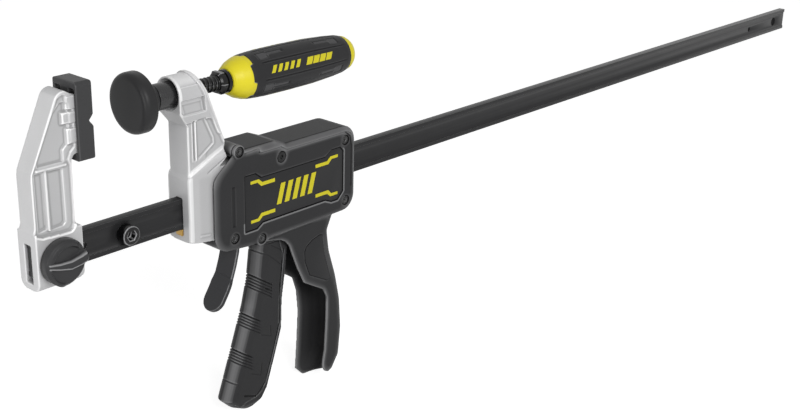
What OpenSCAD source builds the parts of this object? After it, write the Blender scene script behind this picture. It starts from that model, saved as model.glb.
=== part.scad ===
// Quick release bar clamp with a screw spindle.
// X runs along the bar, Z points up and Y runs through the thickness.
// The origin is the middle of the fixed pad's clamping face, on the screw's axis.

/* [Bar] */
// Length of the bar
bar_l = 911; // [860:1:1100]
// Height of the bar
bar_h = 20; // [18:0.5:21]
// Thickness of the bar over its flanges
bar_t = 6; // [5:0.25:6.5]
// Height of each flange
flange_h = 2.8; // [2:0.1:4]
// Depth of the web below the flanges
web_in = 0.7; // [0.3:0.1:1.2]
// Length of bar behind the clamping face
bar_back = 40; // [38:0.5:41]
// Radius of the small holes
small_hole_r = 2.3; // [1.5:0.1:3]
// Radius of the hole to hang the clamp by
hang_hole_r = 4.3; // [3:0.1:5]
// Distance of the hang hole from the bar's far end
hang_in = 22; // [15:1:30]
// Distance of the far stop hole from the bar's far end
far_hole_in = 74; // [60:1:90]
// Place of the near stop hole along X
near_hole_x = -6; // [-8:0.5:-5.5]
// Place of the stop screw along X
stop_x = 23; // [15:1:30]
// Radius of the stop screw's head
stop_head_r = 6; // [5:0.1:7]

/* [Jaws] */
// Height of the screw's axis over the middle of the bar
throat = 77; // [76:0.5:80]
// Opening between the pads
opening = 31; // [28:1:34]
// Thickness of the fixed jaw's arm
fixed_arm_t = 15; // [14:0.5:16]
// Thickness of the fixed jaw's foot
fixed_foot_t = 18.4; // [17:0.2:20]
// Length of the fixed jaw's foot along the bar
fixed_foot_l = 31.2; // [31:0.1:33]
// Thickness of the moving jaw's arm
moving_arm_t = 18.6; // [18:0.2:19.2]
// Thickness of the moving jaw's foot
moving_foot_t = 21.6; // [20:0.2:22]
// Length of the moving jaw's foot along the bar
moving_foot_l = 20.4; // [19.6:0.1:20.8]
// Depth of the fixed jaw's pockets
pocket_in = 1.8; // [1:0.1:3]
// Depth of the moving jaw's pockets
relief_in = 1.2; // [0.8:0.1:2]
// Radius of the moving jaw's boss
boss_r = 11.2; // [11:0.1:12]

/* [Pads] */
// Height of the fixed pad
pad_h = 46; // [44:0.5:48]
// Width of the fixed pad
pad_w = 22; // [21:0.5:24]
// Depth of the fixed pad
pad_t = 10.5; // [9.5:0.1:10.6]
// Half height of the V notch in the fixed pad
notch_h = 3.3; // [2:0.1:4]
// Depth of the V notch
notch_in = 2.7; // [1:0.1:3]
// Radius of the swivel pad
swivel_r = 18.6; // [17:0.2:20]
// Length of the swivel pad from its face to the end of its neck
swivel_l = 17.5; // [17.2:0.1:18.4]
// Radius of the ball that carries the swivel pad
ball_r = 6.5; // [6:0.1:6.8]

/* [Screw] */
// Radius of the spindle
spindle_r = 5; // [4.5:0.1:5.2]
// Radius of the smooth sleeve in front of the boss
sleeve_r = 8.2; // [7.8:0.1:8.6]
// Width of the hex collar over its flats
hex_af = 13.6; // [12.8:0.1:14.4]
// Length of the handle
handle_l = 108.4; // [100:0.2:120]
// Largest radius of the handle
handle_r = 15; // [14:0.25:17]

/* [Housing] */
// Length of the housing
housing_l = 125.5; // [124:0.5:130]
// Thickness of the housing
housing_t = 29.4; // [28.8:0.2:31]
// Thickness of the housing's walls
wall = 2.8; // [2.4:0.1:2.9]
// Reach of the housing's rounded edges over its sides
edge_in = 4.5; // [3:0.1:5]
// Depth of the housing's rounded edges
edge_deep = 2.2; // [1:0.1:2.2]
// Thickness of the rear handle
grip_t = 26; // [25.4:0.2:27]
// Thickness of the rear handle's walls
grip_wall = 2.6; // [2:0.1:2.8]
// Radius of the cover screws' heads
screw_head_r = 2.8; // [2.3:0.1:3]

/* [Trigger] */
// Thickness of the trigger
trigger_t = 16.2; // [15.5:0.1:17]
// Thickness of one drive plate
plate_t = 3; // [2.5:0.1:3.2]
// Thickness of the release lever's strip
lever_t = 2.4; // [2:0.1:2.6]
// Width of the release lever
lever_w = 16.4; // [15:0.2:17]

/* [Fits] */
// Radial clearance of a turning or sliding round fit
run_gap = 0.05; // [0.03:0.01:0.08]
// Clearance between flat pieces that slide
slide_gap = 0.2; // [0.1:0.05:0.3]
// Gap between pieces that pass each other
pass_gap = 0.3; // [0.2:0.05:0.5]

/* [Hidden] */

fine = 64;
mid = 32;
eps = 0.01;

// Places that several pieces share
bar_z = -throat;
bar_top = bar_z + bar_h / 2;
bar_bot = bar_z - bar_h / 2;
head_x = -pad_t;                            // plane where the fixed jaw meets its pad
fixed_x = head_x - fixed_foot_l;            // rear face of the fixed jaw's foot
fixed_top = bar_top + 8;
fixed_bot = bar_bot - 7.5;
knob_x = head_x - 16.2;
knob_z = bar_z - 0.5;
neck_gap = 1.2;                             // lets the swivel pad tilt over the sleeve
sleeve_out = 11.3;                          // sleeve that shows in front of the boss
boss_x = opening + swivel_l + neck_gap + sleeve_out;
jaw_x = boss_x + 5.6;                       // front face of the moving jaw's foot
arm_x = jaw_x + 1.1;
jaw_rear = jaw_x + moving_foot_l;
jaw_bot = bar_bot - 11;
cheek_lap = 3;                              // the housing's cheeks reach over the jaw's foot
housing_x = jaw_rear - cheek_lap;
side_y = housing_t / 2;
inner_y = side_y - wall;
grip_y = grip_t / 2;
cover_y = -inner_y;                         // plane where the side cover meets the housing
pivot = [housing_x + 56.2, bar_z + 22.8];
eye = [housing_x + 23.5, bar_z + 17.5];     // centre of the release lever's rolled eye
plate_x = housing_x + 63;                   // front face of the drive plates
spring_end = housing_x + housing_l - 10;    // rear end of the drive spring
ball_x = opening + 10;                      // centre of the swivel ball
collar_x = housing_x + 14;                  // front of the hex collar
handle_x = collar_x + 8.6;                  // front of the handle

silver = [0.74, 0.75, 0.76];
black = [0.13, 0.13, 0.14];
charcoal = [0.24, 0.24, 0.25];
rubber = [0.18, 0.18, 0.19];
yellow = [0.88, 0.84, 0.22];
steel = [0.6, 0.6, 0.62];
brass = [0.78, 0.6, 0.28];

function arc(c, r, a0, a1, n = 6) =
    [for (i = [0:n]) let (a = a0 + (a1 - a0) * i / n) c + r * [cos(a), sin(a)]];

// A flat plate from y0 to y1 with its outline drawn in X and Z
module slab(y0, y1) {
    translate([0, y1, 0]) rotate([90, 0, 0]) linear_extrude(y1 - y0) children();
}

// A round bar along Y
module rod_y(p, r, y0, y1, sides = fine) {
    translate([p[0], y0, p[1]]) rotate([-90, 0, 0]) cylinder(r = r, h = y1 - y0, $fn = sides);
}

// A round bar along X, on the screw's axis unless y and z say otherwise
module rod_x(x0, x1, r, sides = fine) {
    translate([x0, 0, 0]) rotate([0, 90, 0]) cylinder(r = r, h = x1 - x0, $fn = sides);
}

// A turned shape along X from a list of [x, radius]
module turned(profile) {
    rotate([0, 90, 0]) rotate_extrude($fn = fine) polygon([for (p = profile) [p[1], p[0]]]);
}

module box(a, b) {
    translate(a) cube(b - a);
}

// Everything drawn relative to the housing's front edge and the bar's middle
module in_housing() {
    translate([housing_x, 0, bar_z]) children();
}

// One wire coil spring along X, with its ends at x0 and x1
module coil(x0, x1, r, wire, turns) {
    ring = 6;
    steps = 16;
    n = turns * steps;
    run = x1 - x0 - 2 * wire;
    points = [for (i = [0:n], k = [0:ring - 1])
        let (a = 360 * i / steps, b = 360 * k / ring, q = r + wire * cos(b))
        [x0 + wire + run * i / n + wire * sin(b), q * cos(a), q * sin(a)]];
    sides = [for (i = [0:n - 1], k = [0:ring - 1])
        let (k2 = (k + 1) % ring) [i * ring + k, (i + 1) * ring + k, (i + 1) * ring + k2, i * ring + k2]];
    first = [for (k = [0:ring - 1]) k];
    last = [for (k = [ring - 1:-1:0]) n * ring + k];
    polyhedron(points, concat([first], sides, [last]), convexity = 10);
}

// ---- Bar -----------------------------------------------------------------

bar_end = bar_l - bar_back;
hang_x = bar_end - hang_in;
far_hole_x = bar_end - far_hole_in;

module bar() {
    color(black) difference() {
        box([-bar_back, -bar_t / 2, bar_bot], [bar_end, bar_t / 2, bar_top]);
        for (s = [-1, 1])
            translate([0, s * (bar_t / 2 - web_in / 2 + 1), bar_z])
                cube([2 * bar_l + 10, web_in + 2, bar_h - 2 * flange_h], center = true);
        rod_y([near_hole_x, bar_z], small_hole_r, -bar_t, bar_t);
        rod_y([far_hole_x, bar_z], small_hole_r, -bar_t, bar_t);
        rod_y([hang_x, bar_z], hang_hole_r, -bar_t, bar_t);
        rod_y([stop_x, bar_z], stop_shank_r + run_gap, -bar_t, bar_t);
        rod_y([knob_x, knob_z], lock_r + run_gap, -bar_t, bar_t);
    }
}

stop_shank_r = 3;
stop_head_l = 7.5;
stop_nut_l = 5;
web_y = bar_t / 2 - web_in;

module stop_screw() {
    color(black) difference() {
        union() {
            rod_y([stop_x, bar_z], stop_head_r, -web_y - stop_head_l, -web_y);
            rod_y([stop_x, bar_z], stop_shank_r, -web_y - 1, web_y + stop_nut_l + 1);
        }
        rod_y([stop_x, bar_z], stop_head_r / 2 + 0.2, -web_y - stop_head_l - 1, -web_y - 3, 6);
    }
}

module stop_nut() {
    color(black) difference() {
        rod_y([stop_x, bar_z], stop_head_r, web_y, web_y + stop_nut_l, 6);
        rod_y([stop_x, bar_z], stop_shank_r + run_gap, 0, web_y + stop_nut_l + 1);
    }
}

// ---- Fixed jaw -----------------------------------------------------------

lock_r = 4;
foot_round = 6;
pad_shell = 2;                              // side walls of the pad around the jaw's head
pad_front = 3.6;                            // solid front of the pad
pad_top = pad_h / 2;
head_top = pad_top - 4;
head_bot = -pad_top + 4.5;
tongue_r = 4;
tongue_t = 2;
tongue_z = head_top - 1;

fixed_outline = concat(
    [[fixed_x, fixed_bot], [head_x, fixed_bot], [head_x, fixed_top - 4.5],
     [head_x - 3.3, fixed_top + 1], [head_x - 3.3, fixed_top + 8]],
    [[head_x - 3, head_bot - 4]],
    arc([head_x + 1.5, head_bot - 4], 4.5, 180, 90),
    [[head_x + 1.5, head_top - 3], [head_x, head_top - 3]],
    arc([head_x - 5.5, head_top - 7], 7, 85, 148),
    [[fixed_x + 1.7, head_bot - 5.5], [fixed_x + 1.2, head_bot - 9],
     [fixed_x + 1.2, fixed_top + 3], [fixed_x, fixed_top]]);

// Lugs that meet the pad's rear edge: distance from the head plane, bottom and top
head_lugs = [[4.7, 8.2, 15.5], [7.5, 0.2, 6.4], [4.7, -11.4, -3.2]];

module fixed_pocket_cuts() {
    rim = 3;
    shelf_z = head_bot - 3.1;
    upper = [[fixed_x + 6, shelf_z], [head_x - 8, shelf_z], [head_x - 8, head_bot + 4],
             [head_x - 3.5, head_bot + 8], [head_x - 3.5, head_top - 7], [head_x - 8, head_top - 6],
             [head_x - 13.5, head_top - 12], [fixed_x + 5.4, head_bot - 1]];
    lower_top = shelf_z - 2.9;
    lower_bot = fixed_top - 0.5;
    front = [[head_x - 9.2, lower_bot], [head_x - 9.2, lower_top], [head_x - 19.4, lower_top],
             [head_x - 19.4, lower_bot]];
    back = [[head_x - 21.6, lower_bot], [head_x - 21.6, lower_top], [fixed_x + 1.2 + rim, lower_top],
            [fixed_x + 1.2 + rim, lower_bot]];
    for (s = [-1, 1], shape = [upper, front, back])
        translate([0, s * (fixed_arm_t - pocket_in + 2) / 2, 0])
            slab(-pocket_in / 2 - 1, pocket_in / 2 + 1) polygon(shape);
}

module fixed_jaw() {
    foot_edge = fixed_foot_t / 2 - foot_round;
    color(silver) difference() {
        union() {
            slab(-fixed_arm_t / 2, fixed_arm_t / 2) polygon(fixed_outline);
            difference() {
                box([fixed_x, -fixed_foot_t / 2, fixed_bot], [head_x, fixed_foot_t / 2, fixed_top]);
                box([head_x - 3.3, -fixed_foot_t, fixed_top - 1.5],
                    [head_x + 1, fixed_foot_t, fixed_top + 1]);
            }
            box([head_x, -fixed_arm_t / 2, head_bot],
                [-pad_front - slide_gap, fixed_arm_t / 2, head_top - 4]);
            for (l = head_lugs)
                box([head_x - l[0], -fixed_arm_t / 2 - 0.8, l[1]],
                    [head_x + 1, fixed_arm_t / 2 + 0.8, l[2]]);
        }
        fixed_pocket_cuts();
        // slot for the bar
        box([fixed_x - 1, -bar_t / 2 - slide_gap, bar_bot - slide_gap],
            [head_x + 1, bar_t / 2 + slide_gap, bar_top + slide_gap]);
        rod_y([knob_x, knob_z], lock_r + run_gap, -fixed_foot_t, fixed_foot_t);
        // notch for the pad's tongue
        box([head_x - 3, -tongue_r - slide_gap, tongue_z - tongue_r - 1],
            [head_x + tongue_t + slide_gap, tongue_r + slide_gap, pad_top + 1]);
        // relief below the bar's end
        box([fixed_x - 1, -bar_t / 2 - slide_gap, bar_bot - 3.2],
            [fixed_x + 8, bar_t / 2 + slide_gap, bar_bot]);
        // rounded long edges under the foot
        for (s = [0, 1]) mirror([0, s, 0]) difference() {
            box([fixed_x - 1, foot_edge, fixed_bot - 1], [head_x + 1, fixed_foot_t, fixed_bot + foot_round]);
            translate([0, foot_edge, fixed_bot + foot_round]) rod_x(fixed_x - 2, head_x + 2, foot_round);
        }
    }
}

module fixed_pad() {
    color(charcoal) union() {
        difference() {
            box([head_x, -pad_w / 2, -pad_top], [0, pad_w / 2, pad_top]);
            box([head_x - 1, -pad_w / 2 + pad_shell, head_bot - slide_gap],
                [-pad_front, pad_w / 2 - pad_shell, head_top - 3 + slide_gap]);
            box([head_x - 1, -pad_w / 2 + pad_shell, head_bot],
                [head_x + tongue_t, pad_w / 2 - pad_shell, head_top]);
            slab(-pad_w, pad_w) polygon([[-notch_in, 0], [1, notch_h * (1 + 1 / notch_in)],
                [1, -notch_h * (1 + 1 / notch_in)]]);
        }
        rotate([0, 90, 0]) translate([-tongue_z, 0, head_x])
            cylinder(r = tongue_r - slide_gap, h = tongue_t, $fn = mid);
        box([head_x, -tongue_r + slide_gap, tongue_z],
            [head_x + tongue_t, tongue_r - slide_gap, head_top + 1]);
    }
}

// ---- Lock knob -----------------------------------------------------------

knob_r = 13.9;
knob_t = 8.6;
knob_y = -fixed_foot_t / 2 - pass_gap;      // rear face of the knob
knob_front = knob_y - knob_t;
ridge_w = 4.4;
pointer_out = 1.1;                          // the pointer stands past the rim
clip_y = fixed_foot_t / 2 + pass_gap;

module lock_knob() {
    color(charcoal) difference() {
        translate([knob_x, 0, knob_z]) union() {
            difference() {
                union() {
                    rod_y([0, 0], knob_r, knob_front + 1.5, knob_y);
                    rod_y([0, 0], knob_r - 1.2, knob_front, knob_y);
                }
                // a scooped finger space on each side of the ridge, deeper at the pointer's side
                for (s = [-1, 1])
                    intersection() {
                        translate([3, knob_front, 0]) rotate([0, 0, -14])
                            rod_y([0, 0], knob_r - 2, -5, 1.8);
                        box([-knob_r, -30, s > 0 ? ridge_w / 2 : -2 * knob_r],
                            [2 * knob_r, 0, s > 0 ? 2 * knob_r : -ridge_w / 2]);
                    }
            }
            // pointer at the end of the ridge
            hull() {
                box([knob_r - 6, knob_front, -ridge_w / 2],
                    [knob_r + pointer_out, knob_front + 1, ridge_w / 2]);
                box([knob_r - 6, knob_y - 2.5, -ridge_w - 2],
                    [knob_r + pointer_out, knob_y - 1.5, ridge_w]);
            }
        }
        rod_y([knob_x, knob_z], lock_r + run_gap, knob_y - 5.5, knob_y + 1);
    }
}

module lock_pin() {
    color(steel) difference() {
        rod_y([knob_x, knob_z], lock_r, knob_y - 5.3, clip_y + 2.6);
        difference() {
            rod_y([knob_x, knob_z], lock_r + 1, clip_y, clip_y + 1.2);
            rod_y([knob_x, knob_z], lock_r - 0.8, clip_y - 1, clip_y + 2);
        }
    }
}

module lock_clip() {
    color(steel) difference() {
        rod_y([knob_x, knob_z], lock_r + 2.5, clip_y + 0.1, clip_y + 1.1);
        rod_y([knob_x, knob_z], lock_r - 0.7, clip_y - 1, clip_y + 2);
        box([knob_x - 2.6, clip_y - 1, knob_z - lock_r - 3], [knob_x + 2.6, clip_y + 2, knob_z]);
    }
}

// ---- Moving jaw ----------------------------------------------------------

slant_top = [boss_x + 15.5, boss_r + 1.2];  // ends of the arm's slanted rear edge
slant_bot = [jaw_rear + 10, bar_top + 33];
apex_low = [jaw_rear + 10, bar_top + 22];
tang_x = housing_x + 28;
tang_top = bar_top + 17;
tang_bot = bar_top + 4.5;
nut_r = spindle_r + 2.6;
nut_l = 5;
nut_x = boss_x + 14;                        // front end of the spindle nut
shoe_z = bar_bot - slide_gap;               // face that the bar slides on
shoe_h = 4.4;
shoe_w = 6;
shoe_l = 13;
shoe_out = 0.9;                             // the shoe stands in front of the foot
jaw_bolt_places = [[housing_x + 7, bar_z + 20], [housing_x + 15.5, bar_z + 20.5]];
jaw_bolt_r = 2;

foot_slope = 2.6;                           // the foot gets deeper towards the housing
arm_up = 5.5;                               // top of the arm, inside the boss
rim_w = 3.2;                                // width of the rim along the slanted edge
boss_hollow = 2;                            // depth of the ring at the boss's front
boss_bot = -10.5;
boss_low = -19.5;                           // lower end of the boss's chamfer
moving_outline = [[jaw_x, jaw_bot + foot_slope], [jaw_rear, jaw_bot], [jaw_rear, bar_top + 14],
    apex_low, slant_bot, [slant_top[0] + 4, arm_up], [boss_x, arm_up], [boss_x, boss_bot],
    [arm_x, boss_low], [arm_x, bar_top + 16], [jaw_x, bar_top + 13]];

module moving_pockets() {
    upper = [[boss_x + 1.4, -2.2], [boss_x + 18.8, -2.2], [boss_x + 20.6, -12.2], [boss_x + 4.2, -12.2],
             [boss_x + 1.4, -10]];
    lower = [[boss_x + 14.3, -16.6], [boss_x + 20.6, -16.2], [boss_x + 26.4, -30.1],
             [boss_x + 27.3, -34.2], [boss_x + 13.7, -42.9]];
    slot = [[boss_x + 10.8, -16.6], [boss_x + 12.3, -16.6], [boss_x + 12.5, -42.4], [boss_x + 11, -42.4]];
    for (s = [-1, 1]) {
        translate([0, s * moving_arm_t / 2, 0]) {
            slab(-relief_in, relief_in) polygon(lower);
            slab(-2 * relief_in, relief_in) polygon(slot);
        }
        slab(s > 0 ? moving_arm_t / 2 : -20, s > 0 ? 20 : -moving_arm_t / 2) polygon(upper);
    }
}

// An outline drawn in Y and Z, drawn out along X
module along_x(x0, x1) {
    translate([x0, 0, 0]) rotate([90, 0, 90]) linear_extrude(x1 - x0) children();
}

// The boss, its chamfered lower side, and the rim that widens up to it
module jaw_head() {
    rod_x(boss_x, boss_x + 31, boss_r);
    intersection() {
        slab(-boss_r, boss_r) polygon([[boss_x, 0], [boss_x, boss_bot], [arm_x, boss_low],
            [arm_x + 24, boss_low], [arm_x + 24, 0]]);
        along_x(boss_x, boss_x + 31) polygon([[-boss_r, 0], [-boss_r, boss_bot],
            [-moving_arm_t / 2, boss_low], [moving_arm_t / 2, boss_low], [boss_r, boss_bot], [boss_r, 0]]);
    }
    intersection() {
        slab(-20, 20) polygon([slant_top, slant_top - [rim_w, 0], slant_bot - [rim_w, 0], slant_bot]);
        along_x(boss_x, slant_bot[0] + 1) {
            circle(r = boss_r + 1.2, $fn = fine);
            polygon([[-boss_r - 0.9, 0], [-moving_arm_t / 2, slant_bot[1]],
                [moving_arm_t / 2, slant_bot[1]], [boss_r + 0.9, 0]]);
        }
    }
}

// Space behind the arm's slanted rear edge
module behind_slant() {
    slab(-20, 20) polygon([slant_top, slant_top + [0, 20], slant_bot + [30, 0], slant_bot]);
}

module moving_jaw() {
    color(silver) difference() {
        union() {
            difference() {
                union() {
                    slab(-moving_arm_t / 2, moving_arm_t / 2) polygon(moving_outline);
                    jaw_head();
                    // foot, thick up to a slanted shoulder
                    slab(-moving_foot_t / 2, moving_foot_t / 2) polygon([[jaw_x, jaw_bot + foot_slope],
                        [jaw_rear, jaw_bot], [jaw_rear, bar_top + 14], apex_low, apex_low + [0, 4],
                        [arm_x, bar_top + 16], [jaw_x, bar_top + 13]]);
                }
                behind_slant();
                moving_pockets();
            }
            // tang inside the housing
            difference() {
                slab(-moving_foot_t / 2, moving_foot_t / 2) polygon([[jaw_rear - 1, tang_bot],
                    [tang_x, tang_bot], [tang_x, tang_top], [jaw_rear - 1, tang_top]]);
                rod_y(eye, eye_r + 0.5, -eye_w / 2 - 0.5, eye_w / 2 + 0.5);
                box([eye[0] - eye_r - 0.5, -eye_w / 2 - 0.5, tang_bot - 1],
                    [eye[0] + eye_r + 0.5, eye_w / 2 + 0.5, eye[1]]);
            }
            // lip over the tang, behind the arm
            slab(-moving_arm_t / 2, moving_arm_t / 2) polygon([[jaw_rear - 1, tang_top - 1],
                [jaw_rear + 6, tang_top - 1], [jaw_rear + 6, tang_top + 2], [jaw_rear - 1, tang_top]]);
        }
        // slot for the bar, and the shoe's seat below it
        box([jaw_x - 1, -bar_t / 2 - slide_gap, bar_bot - slide_gap],
            [tang_x + 1, bar_t / 2 + slide_gap, bar_top + slide_gap]);
        box([jaw_x - 1, -shoe_w / 2 - eps, shoe_z - shoe_h - eps],
            [jaw_x + shoe_l + eps, shoe_w / 2 + eps, shoe_z + 1]);
        // hollow ring at the boss's front, and bores for the sleeve and the nut
        rod_x(boss_x - 1, boss_x + boss_hollow, boss_r - 1.5);
        rod_x(boss_x - 1, nut_x, sleeve_r + run_gap);
        rod_x(nut_x - 1, nut_x + 20, nut_r + run_gap);
        rod_y(eye, release_pin_r + run_gap, -20, 20);
        for (p = jaw_bolt_places)
            rod_y(p, jaw_bolt_r + run_gap, -20, 20);
    }
}

module bar_shoe() {
    color(brass) box([jaw_x - shoe_out, -shoe_w / 2, shoe_z - shoe_h], [jaw_x + shoe_l, shoe_w / 2, shoe_z]);
}

module jaw_bolts() {
    color(steel) for (p = jaw_bolt_places)
        rod_y(p, jaw_bolt_r, cover_y, inner_y + wall / 2, mid);
}

module spindle_nut() {
    color(brass) difference() {
        rod_x(nut_x, nut_x + nut_l, nut_r);
        rod_x(nut_x - 1, nut_x + nut_l + 1, spindle_r + run_gap);
        behind_slant();
    }
}

// ---- Housing -------------------------------------------------------------

up = 30.5;                                  // rear top edge over the bar's middle
block_up = 34.5;                            // front block's top
down = 30.5;                                // bottom edge where the rear handle starts
nose_down = 32;                             // bottom edge at the front
corner = 11;                                // outer corner radius
cover_up = 26.7;                            // seam between side cover and rear top edge
block_end = 51;
lug = [38.3, -28.9];
lug_r = 4.8;
top_lug = [20, 34.4];
top_lug_r = 4.4;
nose = [12, -18.5];                         // middle of the rounded lower front corner
nose_r = 12;
lever_gap_end = 34;
screw_places = [top_lug, [115.2 + housing_l - 125.5, 21], [115.8 + housing_l - 125.5, -22.6],
    [15.2, -22.5], lug];
column_r = 3.3;
screw_r = 1.5;
screw_in = 0.4;                             // screw heads sit below the cover's face

front_curve = [[0, 15], [0.24, 17.6], [1, 19.6], [2.2, 21.3], [3.9, 23.1]];
housing_outline = concat(
    front_curve,
    [[15, block_up - 2.5], [20, block_up], [block_end, block_up], [block_end + 10, up]],
    arc([housing_l - corner, up - corner], corner, 90, 0),
    arc([housing_l - corner, corner - down], corner, 0, -90),
    [[lug[0] + 1, -nose_down], [lever_gap_end - 6, -nose_down]],
    arc(nose, nose_r, -90, -180));

cavity_outline = concat(
    [[-1, nose[1]], [-1, 60], [14.5, 60], [14.5, block_up - wall],
     [block_end - 1, block_up - wall], [block_end + 9, up - wall]],
    arc([housing_l - corner, up - corner], corner - wall, 90, 0),
    arc([housing_l - corner, corner - down], corner - wall, 0, -90),
    [[lug[0] + 1, -nose_down + wall], [lever_gap_end - 6, -nose_down + wall]],
    arc(nose, nose_r - wall, -90, -180));

cover_outline = concat(
    front_curve,
    [[15, block_up - 2.7], [36.5, block_up - 1.8], [38, cover_up + 2.9], [56, cover_up + 2.9],
     [61.3, cover_up]],
    arc([housing_l - 10.5, cover_up - 9], 9, 90, 0),
    arc([housing_l - 11.5, 10 - down], 10, 0, -90),
    [[lug[0] + 6, -down], [lug[0] + 1, -nose_down], [lever_gap_end - 6, -nose_down]],
    arc(nose, nose_r, -90, -180));

// A clockwise outline moved inwards by d
function inset(pts, d) = let (n = len(pts))
    [for (i = [0:n - 1]) let (p = pts[i], u = p - pts[(i + n - 1) % n], v = pts[(i + 1) % n] - p,
        a = [u[1], -u[0]] / norm(u), b = [v[1], -v[0]] / norm(v)) p + d * (a + b) / (1 + a * b)];

// The housing's whole block, with the edges of both its sides rounded
module housing_block() {
    steps = 4;
    n = len(housing_outline);
    rounding = [for (i = [0:steps]) let (a = 90 * i / steps)
        [side_y - edge_deep * (1 - sin(a)), edge_in * (1 - cos(a))]];
    levels = concat([for (i = [steps:-1:0]) [-rounding[i][0], rounding[i][1]]], rounding);
    points = [for (l = levels, p = inset(housing_outline, l[1])) [p[0], l[0], p[1]]];
    sides = [for (j = [0:len(levels) - 2], i = [0:n - 1])
        let (k = (i + 1) % n) [j * n + i, (j + 1) * n + i, (j + 1) * n + k, j * n + k]];
    near = [for (i = [0:n - 1]) i];
    far = [for (i = [n - 1:-1:0]) (len(levels) - 1) * n + i];
    polyhedron(points, concat([near], sides, [far]), convexity = 6);
}

// Rear handle: height and rear edge of its sections, from top to bottom
handle_sections = [[-28, 112], [-42, 105.2], [-58, 107.4], [-78, 113.8], [-98, 118.2], [-120, 119.7],
    [-141, 117.6], [-163, 106]];
handle_back_r = 10;
// Front edges of the side walls: the arch they share, the shorter wall and the longer one
arch = [[40, -nose_down], [44.4, -33.4], [50.5, -34.4], [56.7, -36], [61.2, -38.6], [64.6, -42.6],
    [67.2, -49.4], [71.8, -60.6], [78.4, -74]];
near_wall = concat([[130, -27], [40, -27]], arch, [[90, -80.8], [97, -84.8], [100.3, -91.8], [100, -109],
    [98.7, -132], [96.9, -141], [96.6, -145.5], [98.4, -149.3], [101.6, -151], [105.5, -149.8], [111, -143],
    [130, -130]]);
far_wall = concat([[130, -27], [40, -27]], arch, [[84.5, -77.5], [90.3, -81.5], [94, -92], [95.8, -109],
    [94.5, -133], [93, -154], [99.6, -161], [130, -161]]);
slant_end = [-151, -161];                   // lower end of the rear wall at its two sides
past_handle = 200;                          // a cut this long clears the rear handle
channel_top = -27;
// Steps of the channel inside the handle: inset from the sides, inset from the rear edge
channel_steps = [[grip_wall, 8.5], [grip_wall + 1.9, 5], [grip_wall + 4.4, 3.2]];

module handle_section(w, back) {
    half = grip_y - handle_back_r;
    c = back - handle_back_r;
    translate([0, 0, w]) linear_extrude(eps) polygon(concat([[36, -grip_y]],
        arc([c, -half], handle_back_r, -90, 0), arc([c, half], handle_back_r, 0, 90), [[36, grip_y]]));
}

module rear_handle() {
    intersection() {
        for (i = [1:len(handle_sections) - 1]) hull() {
            handle_section(handle_sections[i - 1][0], handle_sections[i - 1][1]);
            handle_section(handle_sections[i][0], handle_sections[i][1]);
        }
        union() {
            slab(-grip_y - 1, -grip_y + grip_wall) polygon(near_wall);
            difference() {
                slab(-grip_y + grip_wall - eps, grip_y + 1) polygon(far_wall);
                rotate([90, 0, 90]) linear_extrude(past_handle)
                    polygon([[-grip_y + grip_wall, slant_end[0]], [grip_y - grip_wall, slant_end[1]],
                        [grip_y + 2, slant_end[1]], [grip_y + 2, -past_handle],
                        [-grip_y, -past_handle], [-grip_y, slant_end[0]]]);
            }
        }
    }
}

module handle_channel() {
    front = lug[0] + column_r + 0.2;
    for (c = channel_steps)
        slab(-grip_y + c[0], grip_y - c[0])
            polygon(concat([[front, -60], [front, channel_top], [96, channel_top]],
                [for (i = [1:len(handle_sections) - 1]) handle_sections[i] * [[0, 1], [1, 0]] - [c[1], 0]],
                [[100, -170], [front, -170]]));
}

// Ring boss for the trigger pin, on the inside of the far wall
module pin_boss() {
    rod_y(pivot, pin_r + 2.4, trigger_t / 2 + pass_gap, inner_y);
}

module housing_columns() {
    for (p = screw_places)
        if (p != top_lug)
            rod_y([housing_x + p[0], bar_z + p[1]], column_r, cover_y, inner_y);
    rod_y([housing_x + top_lug[0], bar_z + top_lug[1]], top_lug_r, cover_y, 0);
    pin_boss();
}

module housing_ribs() {
    // wall that the drive spring pushes on, and the wall around the rear bush
    for (x = [spring_end + 1.2, housing_x + housing_l - 6.5])
        box([x, cover_y, bar_z - 18], [x + 2.5, inner_y, bar_z + 18]);
    // seat of the brake spring
    box([brake_end, cover_y, brake_z - 4], [brake_end + 2, inner_y, brake_z + 4]);
}

module housing_body() {
    color(charcoal) difference() {
        union() {
            difference() {
                union() {
                    in_housing() housing_block();
                    in_housing() rear_handle();
                }
                in_housing() slab(cover_y - eps, inner_y) polygon(cavity_outline);
                // the jaw's foot stands between the cheeks
                box([housing_x - 1, cover_y - eps, jaw_bot - 5], [jaw_rear, inner_y, bar_z]);
                cover_shape(-side_y - 1);
                in_housing() handle_channel();
                // way out for the release lever
                in_housing() slab(-lever_w / 2 - 0.8, lever_w / 2 + 0.8)
                    polygon([[17.5, -60], [17.5, -20], [40, -20], [40, -60]]);
                // badge recess on the far side, and the recesses of the handle inlays
                in_housing() slab(side_y - badge_in, side_y + 1) polygon(badge_outline);
                in_housing() for (s = [0, 1]) mirror([0, s, 0])
                    slab(grip_y - inlay_t, grip_y + 1) polygon(inlay_outline);
            }
            housing_columns();
            housing_ribs();
        }
        // way of the bar, with the bush's seat at the rear
        box([housing_x, -bar_t / 2 - 1, bar_bot - 1],
            [housing_x + housing_l + 1, bar_t / 2 + 1, bar_top + 1]);
        box([bush_x, -bush_y - eps, bar_bot - bush_wall - eps],
            [housing_x + housing_l + 1, bush_y + eps, bar_top + bush_wall + eps]);
        rod_y(pivot, pin_r + run_gap / 2, -side_y, side_y - 1);
        for (p = screw_places)
            rod_y([housing_x + p[0], bar_z + p[1]], screw_r + run_gap, cover_y - 3, screw_end);
        for (p = jaw_bolt_places)
            rod_y(p, jaw_bolt_r + run_gap, 0, inner_y + wall / 2);
    }
}

screw_end = -4;

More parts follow.
